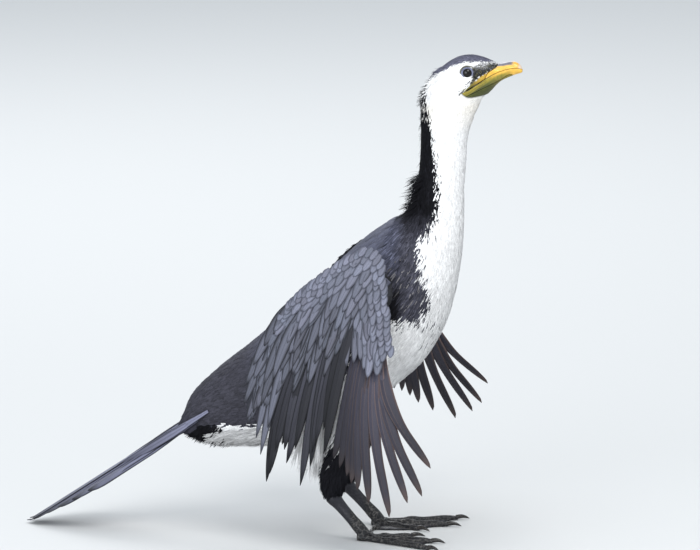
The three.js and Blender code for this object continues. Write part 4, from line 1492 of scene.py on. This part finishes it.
def build_scapulars():
    """Long shoulder feathers that lie over the root of each wing."""
    for side, label in SIDES:
        batch = Batch()
        cells = Cells(12, 8)
        for row, (start_angle, end_station, end_angle) in enumerate(SCAPULAR_ROWS):
            for k in range(7):
                begin = 6.7 - 0.36 * k + RNG.normal(0, 0.08)
                finish = max(begin - 1.5 - 0.24 * k, end_station)
                lift0, lift1 = 0.6 + 0.5 * row, 1.6 + 0.8 * row
                jitter = RNG.normal(0, 2.0)

                def degrees(s):
                    return lerp(start_angle, end_angle, smooth((6.8 - s) / 3.4))

                def path(t):
                    s = lerp(begin, finish, t)
                    lift = lerp(lift0, lift1, t) - 1.6 * (1 - t) ** 2
                    return body_point(s, side * np.radians(degrees(s) + jitter * t), lift)

                def normal(t):
                    s = lerp(begin, finish, t)
                    return body_frame(s, side * np.radians(degrees(s)))[1]

                tone = np.array([0.100, 0.104, 0.146]) * RNG.uniform(0.82, 1.12)
                blade(batch, path, normal, 11 + 0.4 * k, cells.take(), tone, tone * 0.4, steps=16,
                      thick=0.35, narrow=0.6, tip_round=0.5, point=0.6, camber=0.05, roll=0.0)
        batch.make(f"scapulars_{label}", "wing_grey", CONTOUR_FEATHER)


build_scapulars()


def build_thigh_coat():
    """Loose soft feathers of the thighs, hanging towards the heel and black near it."""
    batch = Batch()
    samples, sides = 120, 90
    for side in (-1, 1):
        rings = thigh_rings(side, -1.2, sides, samples)
        d0 = np.diff(rings, axis=0)
        d1 = np.roll(rings, -1, axis=1) - rings
        area = np.linalg.norm(np.cross(d0, d1[:-1]), axis=-1)
        x, y = scatter(area, int(area.sum() / (1.15 * FINE) ** 2))
        i = np.minimum((x * (samples - 1)).astype(int), samples - 2)
        f = x * (samples - 1) - i
        j = (y * sides).astype(int) % sides
        p = lerp(rings[i, j], rings[i + 1, j], f[:, None])
        lie = unit(rings[i + 1, j] - rings[i, j])
        centre = rings[i].mean(1)
        normal = unit(p - centre)
        normal = square_to(normal, lie)
        n = len(p)
        front = smooth((p[:, 0] + 2) / 14)
        black = smooth((88 + 8 * front - p[:, 2] + RNG.normal(0, 6.0, n)) / 3)
        tint = lerp(WHITE, BLACK * 1.6, black[:, None]) * RNG.uniform(0.88, 1.05, (n, 1))
        fluff = np.exp(-(((p[:, 2] - 66) / 20) ** 2)) * (1 - front)
        length = lerp(lerp(10, 15, fluff), 4, smooth((50 - p[:, 2]) / 14)) * RNG.uniform(0.8, 1.25, n)
        rise = lerp(lerp(2.0, 4.5, fluff), 0.5, smooth((50 - p[:, 2]) / 14)) * RNG.uniform(0.7, 1.3, n)
        bake = np.column_stack([0.25 + 0.5 * (side > 0) + 0.24 * (2 * y - 1), 0.01 + 0.13 * x])
        tufts(batch, p, normal, swirl(lie, normal, 0.2), length, np.full(n, 1.5), rise, tint, bake, rows=4,
              droop=0.35)
    batch.make("coat_thighs", "plumage_white", BODY_FEATHER)


build_thigh_coat()


def build_vent():
    """The vent's white feathers, the black fringe under the tail, and the looser tufts."""
    batch = Batch()

    def clump(n, stations, angles, way, mix, length, width, rise, tint, droop=0.4, spread=0.07):
        n = int(n / FINE)
        s, a = RNG.uniform(*stations, n), np.radians(RNG.uniform(*angles, n)) * RNG.choice([-1, 1], n)
        p, normal, lie = body_frame(s, a, -coat_depth(s))
        lie = unit(lie * mix + unit(way) + RNG.normal(0, spread, (n, 3)))
        normal = square_to(normal, lie)
        if tint is None:
            colour = plumage_colour(body_point(s, a))
        else:
            colour = np.tile(tint, (n, 1)) * RNG.uniform(0.75, 1.2, (n, 1))
        tufts(batch, p, normal, lie, RNG.uniform(*length, n), np.full(n, width), RNG.uniform(*rise, n),
              colour, body_bake(s, a), rows=5, droop=droop)

    clump(2600, (1.3, 2.5), (122, 180), np.array([-0.8, 0, -0.25]), 0.7, (12, 21), 1.5, (2, 4.5),
          WHITE * 0.72)
    clump(1500, (0.1, 1.5), (105, 180), np.array([-0.5, 0, -0.6]), 0.4, (7, 13), 1.1, (0.5, 2.2), BLACK,
          spread=0.15)
    clump(1100, (3.3, 3.75), (116, 160), np.array([-0.06, 0, -1.0]), 0.1, (24, 46), 1.5, (2, 6), WHITE,
          spread=0.11)
    clump(700, (0.02, 0.7), (0, 100), np.array([-0.5, 0, -0.85]), 0.5, (9, 15), 3.2, (0.8, 1.6),
          np.array([0.040, 0.039, 0.052]), droop=0.7)
    # Bristly black feathers at the foot of the hindneck, which stand out from it.
    clump(420, (9.8, 11.6), (0, 50), np.array([-0.6, 0, -0.2]), 0.9, (9, 16), 0.7, (2.5, 6.5), BLACK,
          droop=0.2, spread=0.2)
    clump(260, (11.0, 14.2), (0, 42), np.array([-0.25, 0, -0.5]), 1.0, (6, 10), 0.6, (1.2, 2.6), BLACK,
          droop=0.2, spread=0.2)
    clump(260, (14.4, 17.2), (0, 40), np.array([-0.4, 0, -0.1]), 0.9, (5, 8), 0.6, (1.5, 3.0), None,
          droop=0.2, spread=0.18)
    batch.make("coat_vent", "plumage_white", BODY_FEATHER)


build_vent()


def build_lores():
    """The bare warty skin between the eye and the bill."""
    s, a = body_roots(19.0, 23.6, 0.55 * FINE)
    at = body_point(s, a)
    u, v = side_view(at)
    good = inside(LORES, u, v) & ~inside(RICTUS, u, v)
    good &= off_the_eyes(at, 5.7) & inside(HEAD_PATCH, at[:, 0], at[:, 2])
    s, a, at = s[good], a[good], at[good]
    p, normal, lie = body_frame(s, a, -0.75)
    tint = plumage_colour(at)
    n = len(s)
    batch = Batch()
    tufts(batch, p, normal, swirl(lie, normal, 0.5), RNG.uniform(0.5, 0.9, n), RNG.uniform(0.5, 0.75, n),
          RNG.uniform(0.35, 0.7, n), tint, body_bake(s, a), ridged=True, rows=4, droop=0.9, sink=0.1)
    batch.make("lores", "plumage_dark", BODY_FEATHER)


build_lores()


# Camera, floor and light, in metres.
CAMERA_DISTANCE = 18.0
FRAME_WIDTH = 0.56
FLOOR_HALF = 60.0
FLOOR_DROP = 0.0004


def place_camera():
    data = bpy.data.cameras.new("camera")
    camera = add_object("camera", data)
    data.sensor_width = 36
    data.lens = data.sensor_width * CAMERA_DISTANCE / FRAME_WIDTH
    turn = Matrix((VIEW_R, VIEW_U, VIEW_B)).transposed()
    camera.matrix_world = Matrix.Translation(world(AIM) + VIEW_B * CAMERA_DISTANCE) @ turn.to_4x4()
    data.clip_start, data.clip_end = 0.1, 200  # metres
    bpy.context.scene.camera = camera


place_camera()
bpy.context.scene.view_settings.view_transform = "Standard"


def floor_material():
    material, tree, shader = new_material("floor")
    noise = node(tree, "ShaderNodeTexNoise", {"Scale": 4.0, "Detail": 3.0})
    base = mix_colour(tree, noise.outputs["Fac"], (0.56, 0.57, 0.57, 1), (0.60, 0.60, 0.60, 1))
    tree.links.new(base, shader.inputs["Base Color"])
    shader.inputs["Roughness"].default_value = 0.9
    return material


def place_floor():
    mesh = bpy.data.meshes.new("floor")
    signs = (-1, -1), (1, -1), (1, 1), (-1, 1)
    corners = [(x * FLOOR_HALF, y * FLOOR_HALF, -FLOOR_DROP) for x, y in signs]
    mesh.from_pydata(corners, [], [(0, 1, 2, 3)])
    floor = add_object("floor", mesh)
    floor.data.materials.append(floor_material())


place_floor()


def area_light(name, place, target, size, power, colour):
    data = bpy.data.lights.new(name, "AREA")
    data.size, data.energy, data.color = size, power, colour
    light = add_object(name, data)
    light.location = place
    light.rotation_euler = (Vector(target) - Vector(place)).to_track_quat("-Z", "Y").to_euler()


# Name, place, size, power and colour of each light. All three point at the breast.
for name, place, size, power, colour in (
    ("key", (0.9, -1.3, 2.0), 1.1, 31, (1.0, 0.985, 0.96)),
    ("fill", (-0.7, -2.2, 0.55), 1.6, 40, (0.94, 0.97, 1.0)),
    ("back", (-0.6, 1.8, 1.6), 1.4, 22, (1.0, 1.0, 1.0)),
):
    area_light(name, place, (0, 0, 0.2), size, power, colour)

sky = bpy.data.worlds.new("sky")
sky.use_nodes = True
backdrop = sky.node_tree.nodes["Background"]
backdrop.inputs["Color"].default_value = (0.80, 0.86, 0.92, 1)
backdrop.inputs["Strength"].default_value = 0.98
bpy.context.scene.world = sky
